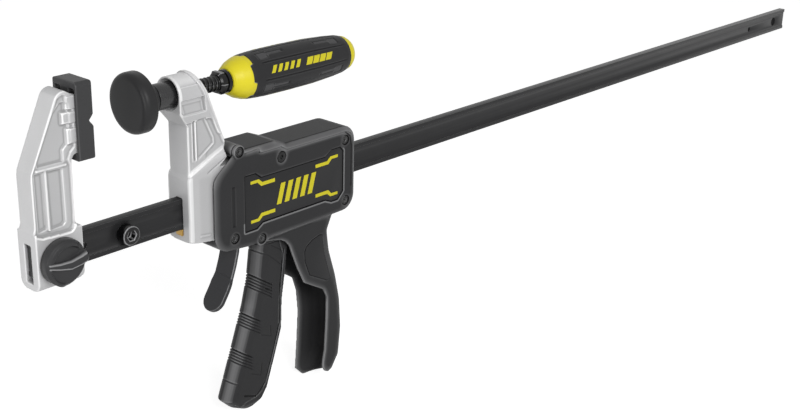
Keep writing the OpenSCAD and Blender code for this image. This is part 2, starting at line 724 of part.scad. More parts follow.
// Panel on each side of the housing, with stepped corners
badge_outline = [[24, 17], [33, 17], [38, 13.2], [96, 13.2], [102, 17], [110, 17], [113, 14], [113, -15],
    [108, -20], [102, -20], [96, -17.5], [39, -17.5], [34, -20.7], [24, -20.7]];
badge_in = 1.2;
badge_t = 0.8;
stroke_t = 0.15;

// Slanted bars at the corners and in the middle of the panel
module strokes() {
    corner_bar = [[0, 0], [12, 0], [15, 3], [21, 3], [21, 5], [14, 5], [11, 2.4], [0, 2.4]];
    for (x = [0, 1], z = [0, 1])
        translate([68.5, -1.8]) mirror([x, 0]) mirror([0, z]) translate([18.5, 9.3]) polygon(corner_bar);
    for (i = [0:4])
        translate([51.5 + 7 * i, -9]) polygon([[0, 0], [4, 0], [8, 14], [4, 14]]);
}

module badge(y0) {
    color(black) in_housing() slab(y0, y0 + badge_t) polygon(badge_outline);
}

module near_badge() badge(-side_y + badge_in - badge_t);
module far_badge() badge(side_y - badge_in);
module near_strokes() {
    color(yellow) in_housing()
        slab(-side_y + badge_in - badge_t - stroke_t, -side_y + badge_in - badge_t) strokes();
}
module far_strokes() {
    color(yellow) in_housing()
        slab(side_y - badge_in + badge_t, side_y - badge_in + badge_t + stroke_t) strokes();
}

// The side cover with its screw lugs, from y0 to the plane where it meets the housing
module cover_shape(y0) {
    in_housing() {
        if (y0 < -side_y)
            slab(y0, cover_y) polygon(cover_outline);
        else
            intersection() {
                slab(y0, cover_y) polygon(cover_outline);
                housing_block();
            }
        rod_y(top_lug, top_lug_r, y0, cover_y);
        rod_y(lug, lug_r, y0, cover_y);
    }
}

module side_cover() {
    color(charcoal) difference() {
        union() {
            cover_shape(-side_y);
            mirror([0, 1, 0]) pin_boss();
        }
        in_housing() slab(-side_y - 1, -side_y + badge_in) polygon(badge_outline);
        // shallow groove in front of the panel
        box([housing_x + 13, -side_y - 1, bar_z - 15], [housing_x + 16, -side_y + 0.6, bar_z + 13]);
        for (p = screw_places) {
            rod_y([housing_x + p[0], bar_z + p[1]], screw_head_r + 0.3, -side_y - 1, -side_y + 2);
            rod_y([housing_x + p[0], bar_z + p[1]], screw_r + run_gap, -side_y, cover_y + 1);
        }
        rod_y(pivot, pin_head_r + 0.3, -side_y - 1, -side_y + 2);
        rod_y(pivot, pin_r + run_gap / 2, -side_y, 0);
    }
}

module cover_screws() {
    color(black) for (p = screw_places)
        translate([housing_x + p[0], 0, bar_z + p[1]]) difference() {
            union() {
                rod_y([0, 0], screw_head_r, -side_y + screw_in, -side_y + 2, mid);
                rod_y([0, 0], screw_r, -side_y + 1, screw_end - 1, mid);
            }
            rod_y([0, 0], screw_r, -side_y, -side_y + 1.3, 6);
        }
}

inlay_t = 0.8;
inlay_outline = [[95, -42.6], [91.8, -42.3], [85.1, -44], [79.5, -47.6], [78, -51], [78.4, -58.2],
    [82.8, -69.5], [99.7, -78.6], [103.3, -78], [97.3, -58], [95.4, -47]];

module inlay(s) {
    color(rubber) in_housing() mirror([0, s, 0])
        slab(grip_y - inlay_t, grip_y) polygon(inlay_outline);
}
module near_inlay() inlay(1);
module far_inlay() inlay(0);

bush_wall = 2.5;
bush_y = bar_t / 2 + 3;
bush_x = housing_x + housing_l - 7.5;

module rear_bush() {
    color(black) difference() {
        box([bush_x, -bush_y, bar_bot - bush_wall], [housing_x + housing_l, bush_y, bar_top + bush_wall]);
        box([bush_x - 1, -bar_t / 2 - slide_gap, bar_bot - slide_gap],
            [housing_x + housing_l + 1, bar_t / 2 + slide_gap, bar_top + slide_gap]);
    }
}

// ---- Trigger -------------------------------------------------------------

pin_r = 3;
pin_head_r = 3.6;
knuckle_r = 5;                              // ring of the trigger around its pin
roller_r = 2.4;
roller = [plate_x - roller_r - 0.1, bar_z - 14.5];
core_out = 1.6;                             // thickness of the soft grip over the core
core_step = 4.6;                            // where the core reaches further forward
cheek_in = bar_t / 2 + 0.8;                 // inner faces of the trigger's cheeks
slot_floor = -15.8;                         // the trigger's slot ends below the bar over its whole swing

// Trigger sections: height, front edge, rear edge and inset of the sides, from top to bottom
trigger_sections = [[-34, 43, 67.4, 0], [-64, 39, 64.4, 0], [-82, 34.4, 61.5, 0], [-103, 27, 60.7, 0],
    [-126, 18.6, 53, 0], [-144, 12, 46.6, 0], [-150.8, 19, 42, 0.5], [-155.2, 27.5, 35.5, 2.9]];
trigger_front_r = 7.8;
grip_low = -130;                            // the soft grip follows the sections down to this height
seam_in = 3;                                // hard edge behind the soft grip
seam_up = -146;                             // hard end below the soft grip

function moved(pts, dx) = [for (p = pts) p + [dx, 0]];
function backwards(pts) = [for (i = [len(pts) - 1:-1:0]) pts[i]];
trigger_front = [for (s = trigger_sections) if (s[0] > grip_low) [s[1], s[0]]];
trigger_back = [for (s = trigger_sections) if (s[0] > grip_low) [s[2], s[0]]];

// The hard core, front_in behind the trigger's front
function core_outline(front_in) = concat(
    [[front_in > core_out ? 46 : 44.8, -27], [46.5, -8], [49.5, 17]],
    arc(pivot - [housing_x, bar_z], knuckle_r, 170, 10),
    [[62, 10], [60.2, -10], [60.2, -24], [67.2, -30]],
    moved(trigger_back, -0.2),
    [[45.5, -144], [41, -150], [36.5, -152], [25, -152], [19, -148.4], [12.6 + front_in, -142]],
    backwards(moved(trigger_front, front_in)));

module trigger_section(s) {
    half = trigger_t / 2 - trigger_front_r;
    r = trigger_front_r - s[3];
    c = s[1] + r;
    translate([0, 0, s[0]]) linear_extrude(eps)
        polygon(concat([[s[2], -half - r], [s[2], half + r]],
            arc([c, half], r, 90, 180), arc([c, -half], r, 180, 270)));
}

// The trigger's whole lower body, with its rounded front
module trigger_body() {
    for (i = [1:len(trigger_sections) - 1]) hull() {
        trigger_section(trigger_sections[i - 1]);
        trigger_section(trigger_sections[i]);
    }
}

module soft_area() {
    slab(-trigger_t, trigger_t) polygon(concat([[0, -37], [59, -38], [62, -48]],
        moved([for (i = [1:len(trigger_back) - 1]) trigger_back[i]], -seam_in),
        [[42.5, seam_up + 2], [37.5, seam_up - 1], [28, seam_up - 2], [20, seam_up - 6.5],
         [0, seam_up - 6.5]]));
}

module trigger_core() {
    half = trigger_t / 2;
    color(charcoal) difference() {
        union() {
            in_housing() slab(-half + core_out, half - core_out) polygon(core_outline(5));
            in_housing() slab(-half + core_step, half - core_step) polygon(core_outline(core_out));
            rod_y(pivot, knuckle_r, -half, half);
            in_housing() slab(-half, half) polygon([[45.2, -36.5], [46.5, -8], [60.2, -10], [60.2, -24],
                [67.2, -30], [67.2, -36.5]]);
            in_housing() difference() {
                trigger_body();
                soft_area();
            }
        }
        // slot that straddles the bar
        in_housing() slab(-cheek_in, cheek_in)
            polygon([[30, slot_floor], [80, slot_floor], [80, 60], [30, 60]]);
        rod_y(pivot, pin_r + run_gap, -20, 20);
        rod_y(roller, roller_r + run_gap, -20, 20);
    }
}

// Soft grip: a shell around the core
module trigger_grip() {
    half = trigger_t / 2;
    color(rubber) difference() {
        in_housing() intersection() {
            trigger_body();
            soft_area();
        }
        in_housing() slab(-half + core_out, half - core_out) polygon(core_outline(5));
        in_housing() slab(-half + core_step, half - core_step) polygon(core_outline(core_out));
    }
}

module trigger_pin() {
    color(steel) difference() {
        union() {
            rod_y(pivot, pin_r, -side_y + screw_in + 1, side_y - 1.1);
            rod_y(pivot, pin_head_r, -side_y + screw_in, -side_y + 2);
        }
        rod_y(pivot, screw_r, -side_y, -side_y + 1.5, 6);
    }
}

module trigger_roller() {
    color(steel) for (s = [0, 1]) mirror([0, s, 0])
        rod_y(roller, roller_r, cheek_in, trigger_t / 2, mid);
}

// ---- Drive plates and springs --------------------------------------------

plate_y = 8.5;
plate_up = 17;
spring_wire = 0.5;
spring_r = inner_y - 0.2 - spring_wire;

module drive_plate(x) {
    color(steel) difference() {
        box([x, -plate_y, bar_z - plate_up], [x + plate_t, plate_y, bar_z + plate_up]);
        box([x - 1, -bar_t / 2 - slide_gap - 0.1, bar_bot - 0.6],
            [x + plate_t + 1, bar_t / 2 + slide_gap + 0.1, bar_top + 0.6]);
    }
}
module drive_plate_front() drive_plate(plate_x);
module drive_plate_rear() drive_plate(plate_x + plate_t + 0.2);

spring_x = plate_x + 2 * plate_t + 0.2;

module drive_spring() {
    color(steel) translate([0, 0, bar_z]) coil(spring_x, spring_end, spring_r, spring_wire, 7);
}

module spring_seat() {
    color(steel) difference() {
        box([spring_end, cover_y + 0.2, bar_z - 16], [spring_end + 1.2, inner_y - 0.2, bar_z + 16]);
        box([spring_end - 1, -bar_t / 2 - 1, bar_bot - 1], [spring_end + 2, bar_t / 2 + 1, bar_top + 1]);
    }
}

// ---- Release lever -------------------------------------------------------

release_pin_r = 1.5;
eye_r = 3;
eye_w = 10;
lever_top = tang_bot - 0.9;
brake_z = bar_bot - 7;
brake_x = eye[0] + lever_t / 2;
brake_end = brake_x + 11;

// Middle line of the strip below the housing, measured from the eye
lever_line = [[0, -47], [-0.4, -53], [-2.8, -62], [-5.6, -70], [-10, -78.5], [-15, -86], [-19.2, -91.5]];
lever_coat_t = 0.4;
coat_from = 3;                              // first point of the line under the coating

function strip(line, half) = let (n = len(line))
    [for (i = [0:n - 1]) let (a = line[max(i - 1, 0)], b = line[min(i + 1, n - 1)], d = (b - a) / norm(b - a))
        line[i] + half * [-d[1], d[0]]];

module lever_shape(line, half, w) {
    difference() {
        slab(-w / 2, w / 2) translate(eye)
            polygon(concat(strip(line, half), backwards(strip(line, -half))));
        // round end of the strip
        translate([eye[0] + line[len(line) - 1][0], 0, eye[1] + line[len(line) - 1][1]])
            rotate([0, 37, 0]) for (s = [0, 1]) mirror([0, s, 0]) difference() {
                box([-10, 0, -1], [10, w, w / 2]);
                translate([0, 0, w / 2]) rotate([0, 90, 0])
                    cylinder(r = w / 2, h = 30, center = true, $fn = fine);
            }
    }
}

module release_lever() {
    top = concat([[0, lever_top - eye[1]]], lever_line);
    color(black) difference() {
        union() {
            lever_shape(top, lever_t / 2, lever_w);
            rod_y(eye, eye_r, -eye_w / 2, eye_w / 2);
            box([eye[0] - lever_t / 2, -eye_w / 2, lever_top - 1], [eye[0] + lever_t / 2, eye_w / 2, eye[1]]);
        }
        rod_y(eye, release_pin_r + run_gap, -20, 20);
        box([eye[0] - 10, -bar_t / 2 - slide_gap - 0.1, bar_bot - 1.1],
            [eye[0] + 10, bar_t / 2 + slide_gap + 0.1, bar_top + 0.8]);
    }
}

module lever_coat() {
    n = len(lever_line);
    line = [for (i = [coat_from:n - 1]) lever_line[i]];
    run = lever_line[n - 1] - lever_line[n - 2];
    tip = lever_line[n - 1] + lever_coat_t * run / norm(run);
    covered = [for (i = [coat_from:n - 1]) i < n - 1 ? lever_line[i] : tip];
    color(rubber) difference() {
        lever_shape(covered, lever_t / 2 + lever_coat_t, lever_w + 2 * lever_coat_t);
        lever_shape(concat([lever_line[coat_from - 1]], line), lever_t / 2, lever_w);
    }
}

module release_pin() {
    color(steel) rod_y(eye, release_pin_r, -moving_foot_t / 2, moving_foot_t / 2, mid);
}

module brake_spring() {
    color(steel) translate([0, 0, brake_z]) coil(brake_x, brake_end, 2.6, 0.5, 7);
}

// ---- Spindle, sleeve and handle ------------------------------------------

journal_r = spindle_r - 1;
sleeve_end = boss_x + 7.5;
spindle_x = boss_x - 1.3;                   // front end of the spindle, in the sleeve
thrust_r = 2.5;
cap_l = 8.5;
ferrule_l = 13.7;
spindle_in = 55;                            // length of the spindle inside the handle

module spindle_sleeve() {
    neck_r = 4.2;
    color(black) difference() {
        union() {
            turned([[ball_x, 0], [ball_x, neck_r], [boss_x - sleeve_out - 0.3, neck_r],
                [boss_x - sleeve_out, sleeve_r], [sleeve_end, sleeve_r], [sleeve_end, 0]]);
            translate([ball_x, 0, 0]) rotate([0, 90, 0]) sphere(r = ball_r, $fn = fine);
        }
        rod_x(spindle_x - 2 * thrust_r, sleeve_end + 1, journal_r + run_gap);
    }
}

module thrust_ball() {
    color(steel) translate([spindle_x - thrust_r, 0, 0]) sphere(r = thrust_r, $fn = mid);
}

module spindle() {
    color(black) union() {
        rod_x(spindle_x, sleeve_end + 2, journal_r);
        rod_x(sleeve_end + 1.5, handle_x + spindle_in, spindle_r);
    }
}

hex_l = 5;                                  // length of the collar's hexagon

module hex_collar() {
    rear_x = collar_x + hex_l;
    color(black) difference() {
        union() {
            intersection() {
                // two of the hexagon's flats face up and down
                translate([collar_x, 0, 0]) rotate([0, 90, 0]) rotate([0, 0, 30])
                    cylinder(r = hex_af / 2 / cos(30), h = hex_l, $fn = 6);
                turned([[collar_x, 0], [collar_x, hex_af / 2 - 0.7], [collar_x + 1.4, hex_af / 2 + 1],
                    [rear_x, hex_af / 2 + 1.2], [rear_x, 0]]);
            }
            turned([[collar_x + 2, 0], [collar_x + 2, hex_af / 2 - 0.5], [rear_x, hex_af / 2 - 0.5],
                [rear_x + 0.8, hex_af / 2 + 0.6],
                [handle_x - 0.2, hex_af / 2 + 0.8], [handle_x - 0.2, 0]]);
        }
        rod_x(collar_x - 1, handle_x + 1, spindle_r + run_gap / 2);
    }
}

grip_x = handle_x + ferrule_l;
grip_end = handle_x + handle_l - cap_l;
core_r = 10;

module handle_core() {
    color(yellow) difference() {
        turned([[handle_x, 0], [handle_x, 8], [handle_x + 1, 9], [handle_x + 5.4, 11.6],
            [handle_x + 10.4, 13.4], [grip_x, 13.8], [grip_x, core_r], [grip_end, core_r], [grip_end, 0]]);
        rod_x(handle_x - 1, handle_x + spindle_in + run_gap, spindle_r + run_gap / 2);
    }
}

module handle_grip() {
    color(rubber) difference() {
        turned([[grip_x, 0], [grip_x, handle_r - 0.9], [grip_x + 14, handle_r], [grip_x + 36, handle_r + 0.1],
            [grip_x + 56, handle_r - 0.2], [grip_end - 12, handle_r - 1.2], [grip_end - 3, handle_r - 2.1],
            [grip_end, handle_r - 2.8], [grip_end, 0]]);
        rod_x(grip_x - 1, grip_end + 1, core_r + run_gap / 2);
    }
}

module handle_cap() {
    color(yellow) turned([[grip_end, 0], [grip_end, handle_r - 3], [grip_end + 3, handle_r - 3.5],
        [grip_end + 6.3, handle_r - 5.2], [grip_end + cap_l, handle_r - 8.2], [grip_end + cap_l, 0]]);
}

// ---- Swivel pad ----------------------------------------------------------

ring_r = ball_r + 1.7;
socket_gap = 0.1;
ring_open = 50;                             // half angle of the ring's rear opening, degrees
ring_front = 4;                             // ring reaches this far in front of the ball's centre

module swivel_ring() {
    color(steel) translate([ball_x, 0, 0]) rotate([0, 90, 0]) difference() {
        sphere(r = ring_r, $fn = fine);
        sphere(r = ball_r + socket_gap, $fn = fine);
        translate([0, 0, -20 - ring_front]) cylinder(r = 20, h = 20, $fn = fine);
        cylinder(r1 = 0, r2 = 20 * tan(ring_open), h = 20, $fn = fine);
    }
}

pad_cover_t = 2;
pad_disc_r = swivel_r - 2.4;
pad_rim = 9;

module pad_core() {
    neck_end = opening + swivel_l;
    color(black) difference() {
        turned([[opening + pad_cover_t, 0], [opening + pad_cover_t, pad_disc_r],
            [opening + pad_rim, pad_disc_r], [opening + pad_rim + 2, 15.4], [neck_end - 4, 12.9],
            [neck_end - 1.7, 10.1], [neck_end, 9], [neck_end, 0]]);
        translate([ball_x, 0, 0]) sphere(r = ring_r + socket_gap, $fn = fine);
        turned([[ball_x, 0], [ball_x, 2], [neck_end + 1, 7.4], [neck_end + 1, 0]]);
        rod_x(ball_x + 4, neck_end + 1, 6.9);
    }
}

module pad_cover() {
    color(charcoal) difference() {
        turned([[opening, 0], [opening, swivel_r - 2.6], [opening + 0.8, swivel_r - 0.9],
            [opening + 2.4, swivel_r], [opening + pad_rim - 1.6, swivel_r],
            [opening + pad_rim - 0.3, swivel_r - 0.7], [opening + pad_rim, swivel_r - 1.7],
            [opening + pad_rim, 0]]);
        rod_x(opening + pad_cover_t, opening + pad_rim + 1, pad_disc_r);
    }
}

// --------------------------------------------------------------------------

bar();
stop_screw();
stop_nut();
fixed_jaw();
fixed_pad();
lock_knob();
lock_pin();
lock_clip();
moving_jaw();
bar_shoe();
jaw_bolts();
spindle_nut();
housing_body();
side_cover();
near_badge();
near_strokes();
far_badge();
far_strokes();
cover_screws();
near_inlay();
far_inlay();
rear_bush();
trigger_core();
trigger_grip();
trigger_pin();
trigger_roller();
drive_plate_front();
drive_plate_rear();
drive_spring();
spring_seat();
release_lever();
lever_coat();
release_pin();
brake_spring();
spindle_sleeve();
thrust_ball();
spindle();
hex_collar();
handle_core();
handle_grip();
handle_cap();
swivel_ring();
pad_core();
pad_cover();
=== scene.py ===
import math
import bpy
import numpy as np
from mathutils import Matrix, Vector

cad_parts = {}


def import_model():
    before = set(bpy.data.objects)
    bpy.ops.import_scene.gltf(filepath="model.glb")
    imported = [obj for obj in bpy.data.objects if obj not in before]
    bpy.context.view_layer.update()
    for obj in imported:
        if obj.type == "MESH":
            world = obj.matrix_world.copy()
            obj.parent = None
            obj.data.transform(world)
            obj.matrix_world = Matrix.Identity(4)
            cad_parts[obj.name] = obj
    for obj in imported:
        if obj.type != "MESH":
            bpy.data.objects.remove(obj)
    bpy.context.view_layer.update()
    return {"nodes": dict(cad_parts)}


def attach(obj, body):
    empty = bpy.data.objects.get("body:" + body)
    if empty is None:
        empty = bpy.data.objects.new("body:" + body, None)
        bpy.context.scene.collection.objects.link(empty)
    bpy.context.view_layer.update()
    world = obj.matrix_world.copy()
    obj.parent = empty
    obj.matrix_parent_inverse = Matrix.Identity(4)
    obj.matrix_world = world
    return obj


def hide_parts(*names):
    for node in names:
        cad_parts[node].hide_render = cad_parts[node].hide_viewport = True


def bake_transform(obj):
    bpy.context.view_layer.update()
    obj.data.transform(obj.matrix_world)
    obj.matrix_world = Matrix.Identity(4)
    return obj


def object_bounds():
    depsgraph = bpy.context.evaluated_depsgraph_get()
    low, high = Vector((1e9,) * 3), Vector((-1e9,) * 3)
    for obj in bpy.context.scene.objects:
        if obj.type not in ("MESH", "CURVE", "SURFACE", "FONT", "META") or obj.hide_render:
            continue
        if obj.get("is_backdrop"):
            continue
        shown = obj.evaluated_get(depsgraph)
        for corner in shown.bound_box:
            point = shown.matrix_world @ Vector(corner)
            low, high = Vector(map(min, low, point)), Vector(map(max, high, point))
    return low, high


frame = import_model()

MM = 0.001                 # a millimetre in metres: places and sizes below are in millimetres
TURN = 2 * math.pi
WELD = 1e-6                # points closer than this, in metres, become one
FAR, TINY = 1e9, 1e-12
NEAR_ZERO = 1e-6

# Places taken from the solids, in millimetres
HOUSING_X, BAR_Z = 84.0, -77.0
SIDE_Y, GRIP_Y, WALL = 14.7, 13.0, 2.8


# ---- Materials -------------------------------------------------------------

def linear(v):
    v /= 255.0
    return v / 12.92 if v <= 0.04045 else ((v + 0.055) / 1.055) ** 2.4


def colour(r, g, b):
    """A shader colour from screen values of 0 to 255."""
    return (linear(r), linear(g), linear(b), 1.0)


def grey(v, blue=1):
    return colour(v, v, v + blue)


class Surface:
    """A procedural material: a base colour with soft and fine variation, and a bump grain.

    edge holds a colour and two limits: the colour is a painted highlight where the surface stands
    that far proud of its surroundings, and creases get painted shade, down to the part crease of
    the base colour. How far it stands proud is what paint_light() kept, or the surface's own
    curvature where solid is set."""

    BROAD_SCALE, BROAD_PART, FINE_PART = 38.0, 0.6, 0.4
    DARK_AT, LIGHT_AT = 0.3, 0.7
    CREASE_PART = -0.6     # painted shade in creases begins and ends at this part of the edge's limits
    ROUGH_SPREAD = 0.08
    BUMP_PART, SPOT_PART = 1.7, 0.8

    def __init__(self, name, base, rough, metal=0.0, grain=900.0, bump=0.05, spread=0.12, spots=0.0,
                 edge=None, streak=None, specular=0.5, crease=0.5, solid=False):
        self.material = bpy.data.materials.new(name)
        self.material.use_nodes = True
        self.tree = self.material.node_tree
        shader = self.tree.nodes["Principled BSDF"].inputs
        shader["Metallic"].default_value = metal
        shader["Specular IOR Level"].default_value = specular
        place = self.node("ShaderNodeTexCoord").outputs["Object"]
        fine_place = self.stretched(place, streak) if streak else place
        broad = self.noise(place, self.BROAD_SCALE, 3.0)
        fine = self.noise(fine_place, grain, 2.0)
        tint = self.shaded(base, spread, self.math(
            "ADD", self.math("MULTIPLY", broad, self.BROAD_PART),
            self.math("MULTIPLY", fine, self.FINE_PART)))
        # painted highlight on proud edges, painted shade in creases
        if edge:
            light, start, full = edge
            dark = [c * crease for c in base[:3]] + [1]
            proud = self.curvature() if solid else self.painted_light()
            tint = self.blend(tint, light, self.ramp(proud, start, full))
            tint = self.blend(tint, dark, self.ramp(proud, self.CREASE_PART * start,
                                                    self.CREASE_PART * full))
        self.link(tint, shader["Base Color"])
        self.link(self.math("ADD", self.math("MULTIPLY", fine, self.ROUGH_SPREAD),
                            rough - self.ROUGH_SPREAD / 2), shader["Roughness"])
        height = self.noise(fine_place, grain * self.BUMP_PART, 2.0)
        if spots:
            cells = self.node("ShaderNodeTexVoronoi")
            cells.inputs["Scale"].default_value = grain * self.SPOT_PART
            self.link(place, cells.inputs["Vector"])
            spot = self.math("MULTIPLY", cells.outputs["Distance"], spots)
            height = self.math("ADD", height, spot)
        relief = self.node("ShaderNodeBump")
        relief.inputs["Strength"].default_value = 1.0
        relief.inputs["Distance"].default_value = bump * MM
        self.link(height, relief.inputs["Height"])
        self.link(relief.outputs["Normal"], shader["Normal"])

    def node(self, kind):
        return self.tree.nodes.new(kind)

    def link(self, source, target):
        self.tree.links.new(source, target)

    def stretched(self, place, scale):
        n = self.node("ShaderNodeMapping")
        n.inputs["Scale"].default_value = scale
        self.link(place, n.inputs["Vector"])
        return n.outputs["Vector"]

    def curvature(self):
        flat = 0.5
        return self.math("SUBTRACT", self.node("ShaderNodeNewGeometry").outputs["Pointiness"], flat)

    def painted_light(self):
        n = self.node("ShaderNodeAttribute")
        n.attribute_name = "light_shade"
        return n.outputs["Fac"]

    def shaded(self, base, spread, value):
        """The base colour, darker and lighter by the part spread."""
        n = self.node("ShaderNodeValToRGB")
        self.link(value, n.inputs["Fac"])
        for stop, at, part in zip(n.color_ramp.elements, (self.DARK_AT, self.LIGHT_AT),
                                  (1 - spread, 1 + spread)):
            stop.position, stop.color = at, [min(1, c * part) for c in base[:3]] + [1]
        return n.outputs["Color"]

    def ramp(self, value, lo, hi):
        n = self.node("ShaderNodeMapRange")
        n.inputs["From Min"].default_value = lo
        n.inputs["From Max"].default_value = hi
        self.link(value, n.inputs["Value"])
        return n.outputs["Result"]

    def blend(self, a, b, factor):
        n = self.node("ShaderNodeMix")
        n.data_type = "RGBA"
        self.link(factor, n.inputs["Factor"])
        self.link(a, n.inputs["A"])
        n.inputs["B"].default_value = b
        return n.outputs["Result"]

    def noise(self, vector, scale, detail):
        n = self.node("ShaderNodeTexNoise")
        n.inputs["Scale"].default_value = scale
        n.inputs["Detail"].default_value = detail
        self.link(vector, n.inputs["Vector"])
        return n.outputs["Fac"]

    def math(self, op, a, b):
        n = self.node("ShaderNodeMath")
        n.operation = op
        for i, v in enumerate((a, b)):
            if isinstance(v, (int, float)):
                n.inputs[i].default_value = v
            else:
                self.link(v, n.inputs[i])
        return n.outputs[0]


def surface(name, base, rough, **rest):
    return Surface(name, base, rough, **rest).material


# The edge colours below are painted highlights on proud edges and thread crests, and crease sets
# the painted shade in creases.
CAST = surface("cast silver", grey(200), 0.42, metal=0.1, grain=1300, bump=0.04, spread=0.05,
               edge=(grey(254, 0), 0.05, 0.22), specular=0.4, crease=0.66)
HOUSING = surface("charcoal plastic", grey(57), 0.4, grain=1600, bump=0.03, spread=0.06, spots=0.5,
                  edge=(grey(136), 0.05, 0.34), specular=0.05, crease=0.1)
TRIM = surface("black plastic", grey(60), 0.36, grain=1500, bump=0.02, spread=0.06,
               edge=(grey(150), 0.05, 0.3), specular=0.12, crease=0.3)
PANEL = surface("panel foil", grey(47), 0.42, grain=2200, bump=0.01, spread=0.04, specular=0.1)
RUBBER = surface("soft grip", grey(52), 0.42, grain=1800, bump=0.04, spread=0.07, spots=0.6,
                 edge=(grey(128), 0.07, 0.34), specular=0.08, crease=0.22)
PAD = surface("pad rubber", grey(66), 0.42, grain=1400, bump=0.04, spread=0.06, spots=0.4,
              edge=(grey(104), 0.05, 0.35), specular=0.12)
# the pad rubber made darker for the swivel pad and its neck, as painted shade
SHADED_PAD = surface("swivel pad rubber in painted shade", grey(38), 0.42, grain=1400, bump=0.04, spread=0.06, spots=0.4,
              specular=0.2)
BAR = surface("bar coating", grey(42), 0.34, grain=700, bump=0.015, spread=0.10,
              streak=(0.05, 1, 1), specular=0.15)
BLACK_STEEL = surface("black oxide steel", grey(14), 0.2, bump=0.01, spread=0.10, specular=0.25)
THREAD_STEEL = surface("oiled thread steel", grey(12), 0.22, bump=0.01, spread=0.10,
                       edge=(grey(110, 0), 0.02, 0.09), specular=0.3, crease=0.3, solid=True)
SLEEVE = surface("glossy sleeve", grey(34), 0.27, bump=0.001, spread=0.10)
STEEL = surface("bright steel", grey(168, 2), 0.3, metal=1.0, grain=800, bump=0.02, spread=0.08)
BRASS = surface("brass", colour(168, 136, 76), 0.36, metal=0.9, grain=800, bump=0.02, spread=0.10)
YELLOW = surface("yellow plastic", colour(234, 220, 44), 0.4, grain=1500, bump=0.02, spread=0.03,
                 specular=0.3)
PRINT = surface("yellow print", colour(222, 210, 48), 0.5, grain=1500, bump=0.005, spread=0.03,
                specular=0.2)
PATCH = surface("grey recess", grey(78), 0.6, grain=1500, bump=0.03, spread=0.05, specular=0.2)
LEVER = surface("lever coating", grey(52, 2), 0.3, bump=0.02, spread=0.08,
                edge=(grey(190, 2), 0.05, 0.25), specular=0.15)
# painted highlights for the rounded edges of steel and of black parts
HIGHLIGHT_STEEL = surface("painted highlight steel edge", grey(132, 2), 0.3, metal=0.3, bump=0.01, spread=0.1)
HIGHLIGHT_BLACK = surface("painted highlight black edge", grey(98), 0.35, bump=0.01, spread=0.1)
# painted shadow for the gaps round badges and inlays
SHADE_GAP = surface("painted shadow gap", grey(8), 0.6, bump=0.01, spread=0.1, specular=0.05)


# ---- Mesh tools ------------------------------------------------------------

def new_object(name, verts, faces, smooth=True):
    """A mesh object from points in millimetres."""
    me = bpy.data.meshes.new(name)
    me.from_pydata([tuple(v) for v in np.asarray(verts, float) * MM], [], faces)
    me.validate()
    me.update()
    me.shade_smooth() if smooth else me.shade_flat()
    ob = bpy.data.objects.new(name, me)
    bpy.context.scene.collection.objects.link(ob)
    return ob


def finish(ob, material, body, slot, *nodes, edge=None):
    """Gives a piece its material and body, and hides the nodes that it replaces."""
    for m in (material, edge) if edge else (material,):
        ob.data.materials.append(m)
    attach(ob, body)
    if nodes:
        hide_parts(*nodes)


def baked(ob, name):
    """The object with its modifiers applied, as a new object in the same place."""
    deps = bpy.context.evaluated_depsgraph_get()
    me = bpy.data.meshes.new_from_object(ob.evaluated_get(deps))
    me.name = name
    me.transform(ob.matrix_world)
    bpy.data.objects.remove(ob)
    out = bpy.data.objects.new(name, me)
    bpy.context.scene.collection.objects.link(out)
    return out


def points(ob):
    """The object's points, one row each, in millimetres."""
    co = np.empty(len(ob.data.vertices) * 3)
    ob.data.vertices.foreach_get("co", co)
    return co.reshape(-1, 3) / MM


def set_points(ob, co):
    ob.data.vertices.foreach_set("co", (np.asarray(co) * MM).ravel())
    ob.data.update()


def normals(ob):
    n = np.empty(len(ob.data.vertices) * 3)
    ob.data.vertices.foreach_get("normal", n)
    return n.reshape(-1, 3)


def blurred(ob, passes, weight=None):
    """The object's points, each moved towards the middle of its neighbours."""
    co = points(ob)
    ends = np.empty(len(ob.data.edges) * 2, np.int64)
    ob.data.edges.foreach_get("vertices", ends)
    a, b = ends.reshape(-1, 2).T
    n = len(co)
    count = np.bincount(a, minlength=n) + np.bincount(b, minlength=n)
    for _ in range(passes):
        total = np.stack([np.bincount(a, co[b, k], n) + np.bincount(b, co[a, k], n)
                          for k in range(3)], 1)
        step = 0.5 * (total / np.maximum(count, 1)[:, None] - co)
        co += step if weight is None else step * weight[:, None]
    return co


def relax(ob, passes, weight=None):
    """Rounds the edges, all of them or as far as each point's weight says."""
    set_points(ob, blurred(ob, passes, weight))


BROAD_SHARE = 0.25         # part of the height over the far surroundings that counts
FLAT_ENOUGH = -0.03        # a point sunk deeper than this keeps its painted crease shade
PAINTED = 0.01             # a painted line fainter than this doesn't count


def proud(ob, passes):
    """How far each point stands proud of the surface round it."""
    return ((points(ob) - blurred(ob, passes)) * normals(ob)).sum(1)


def paint_light(ob, passes=10, lines=0, shade_lines=0, most=1.0, broad=0):
    """Keeps with each point how far it stands proud, as a painted highlight, or as painted shade
    where it is sunk, with painted light lines and painted shade lines.

    passes and broad say how wide its near and far surroundings are."""
    light_shade = np.minimum(proud(ob, passes), most)
    if broad:
        wide = BROAD_SHARE * proud(ob, broad)
        light_shade = np.where(light_shade > FLAT_ENOUGH, np.maximum(light_shade, wide), light_shade)
    light_shade = np.where(np.asarray(lines) > PAINTED, np.maximum(light_shade, lines), light_shade) - shade_lines
    data = ob.data.attributes.new("light_shade", "FLOAT", "POINT").data
    data.foreach_set("value", light_shade.astype(np.float32))


def add_highlight_band(ob, light):
    """Adds a band of painted highlight to what paint_light() kept."""
    data = ob.data.attributes["light_shade"].data
    light_shade = np.empty(len(data), np.float32)
    data.foreach_get("value", light_shade)
    data.foreach_set("value", (light_shade + light).astype(np.float32))


def weld(ob):
    ob.modifiers.new("weld", "WELD").merge_threshold = WELD


def cad_copy(name, node):
    """A new mesh with the solids of the given node."""
    src = frame["nodes"][node]
    ob = new_object(name, [tuple(src.matrix_world @ v.co / MM) for v in src.data.vertices],
                    [list(p.vertices) for p in src.data.polygons])
    weld(ob)
    return ob


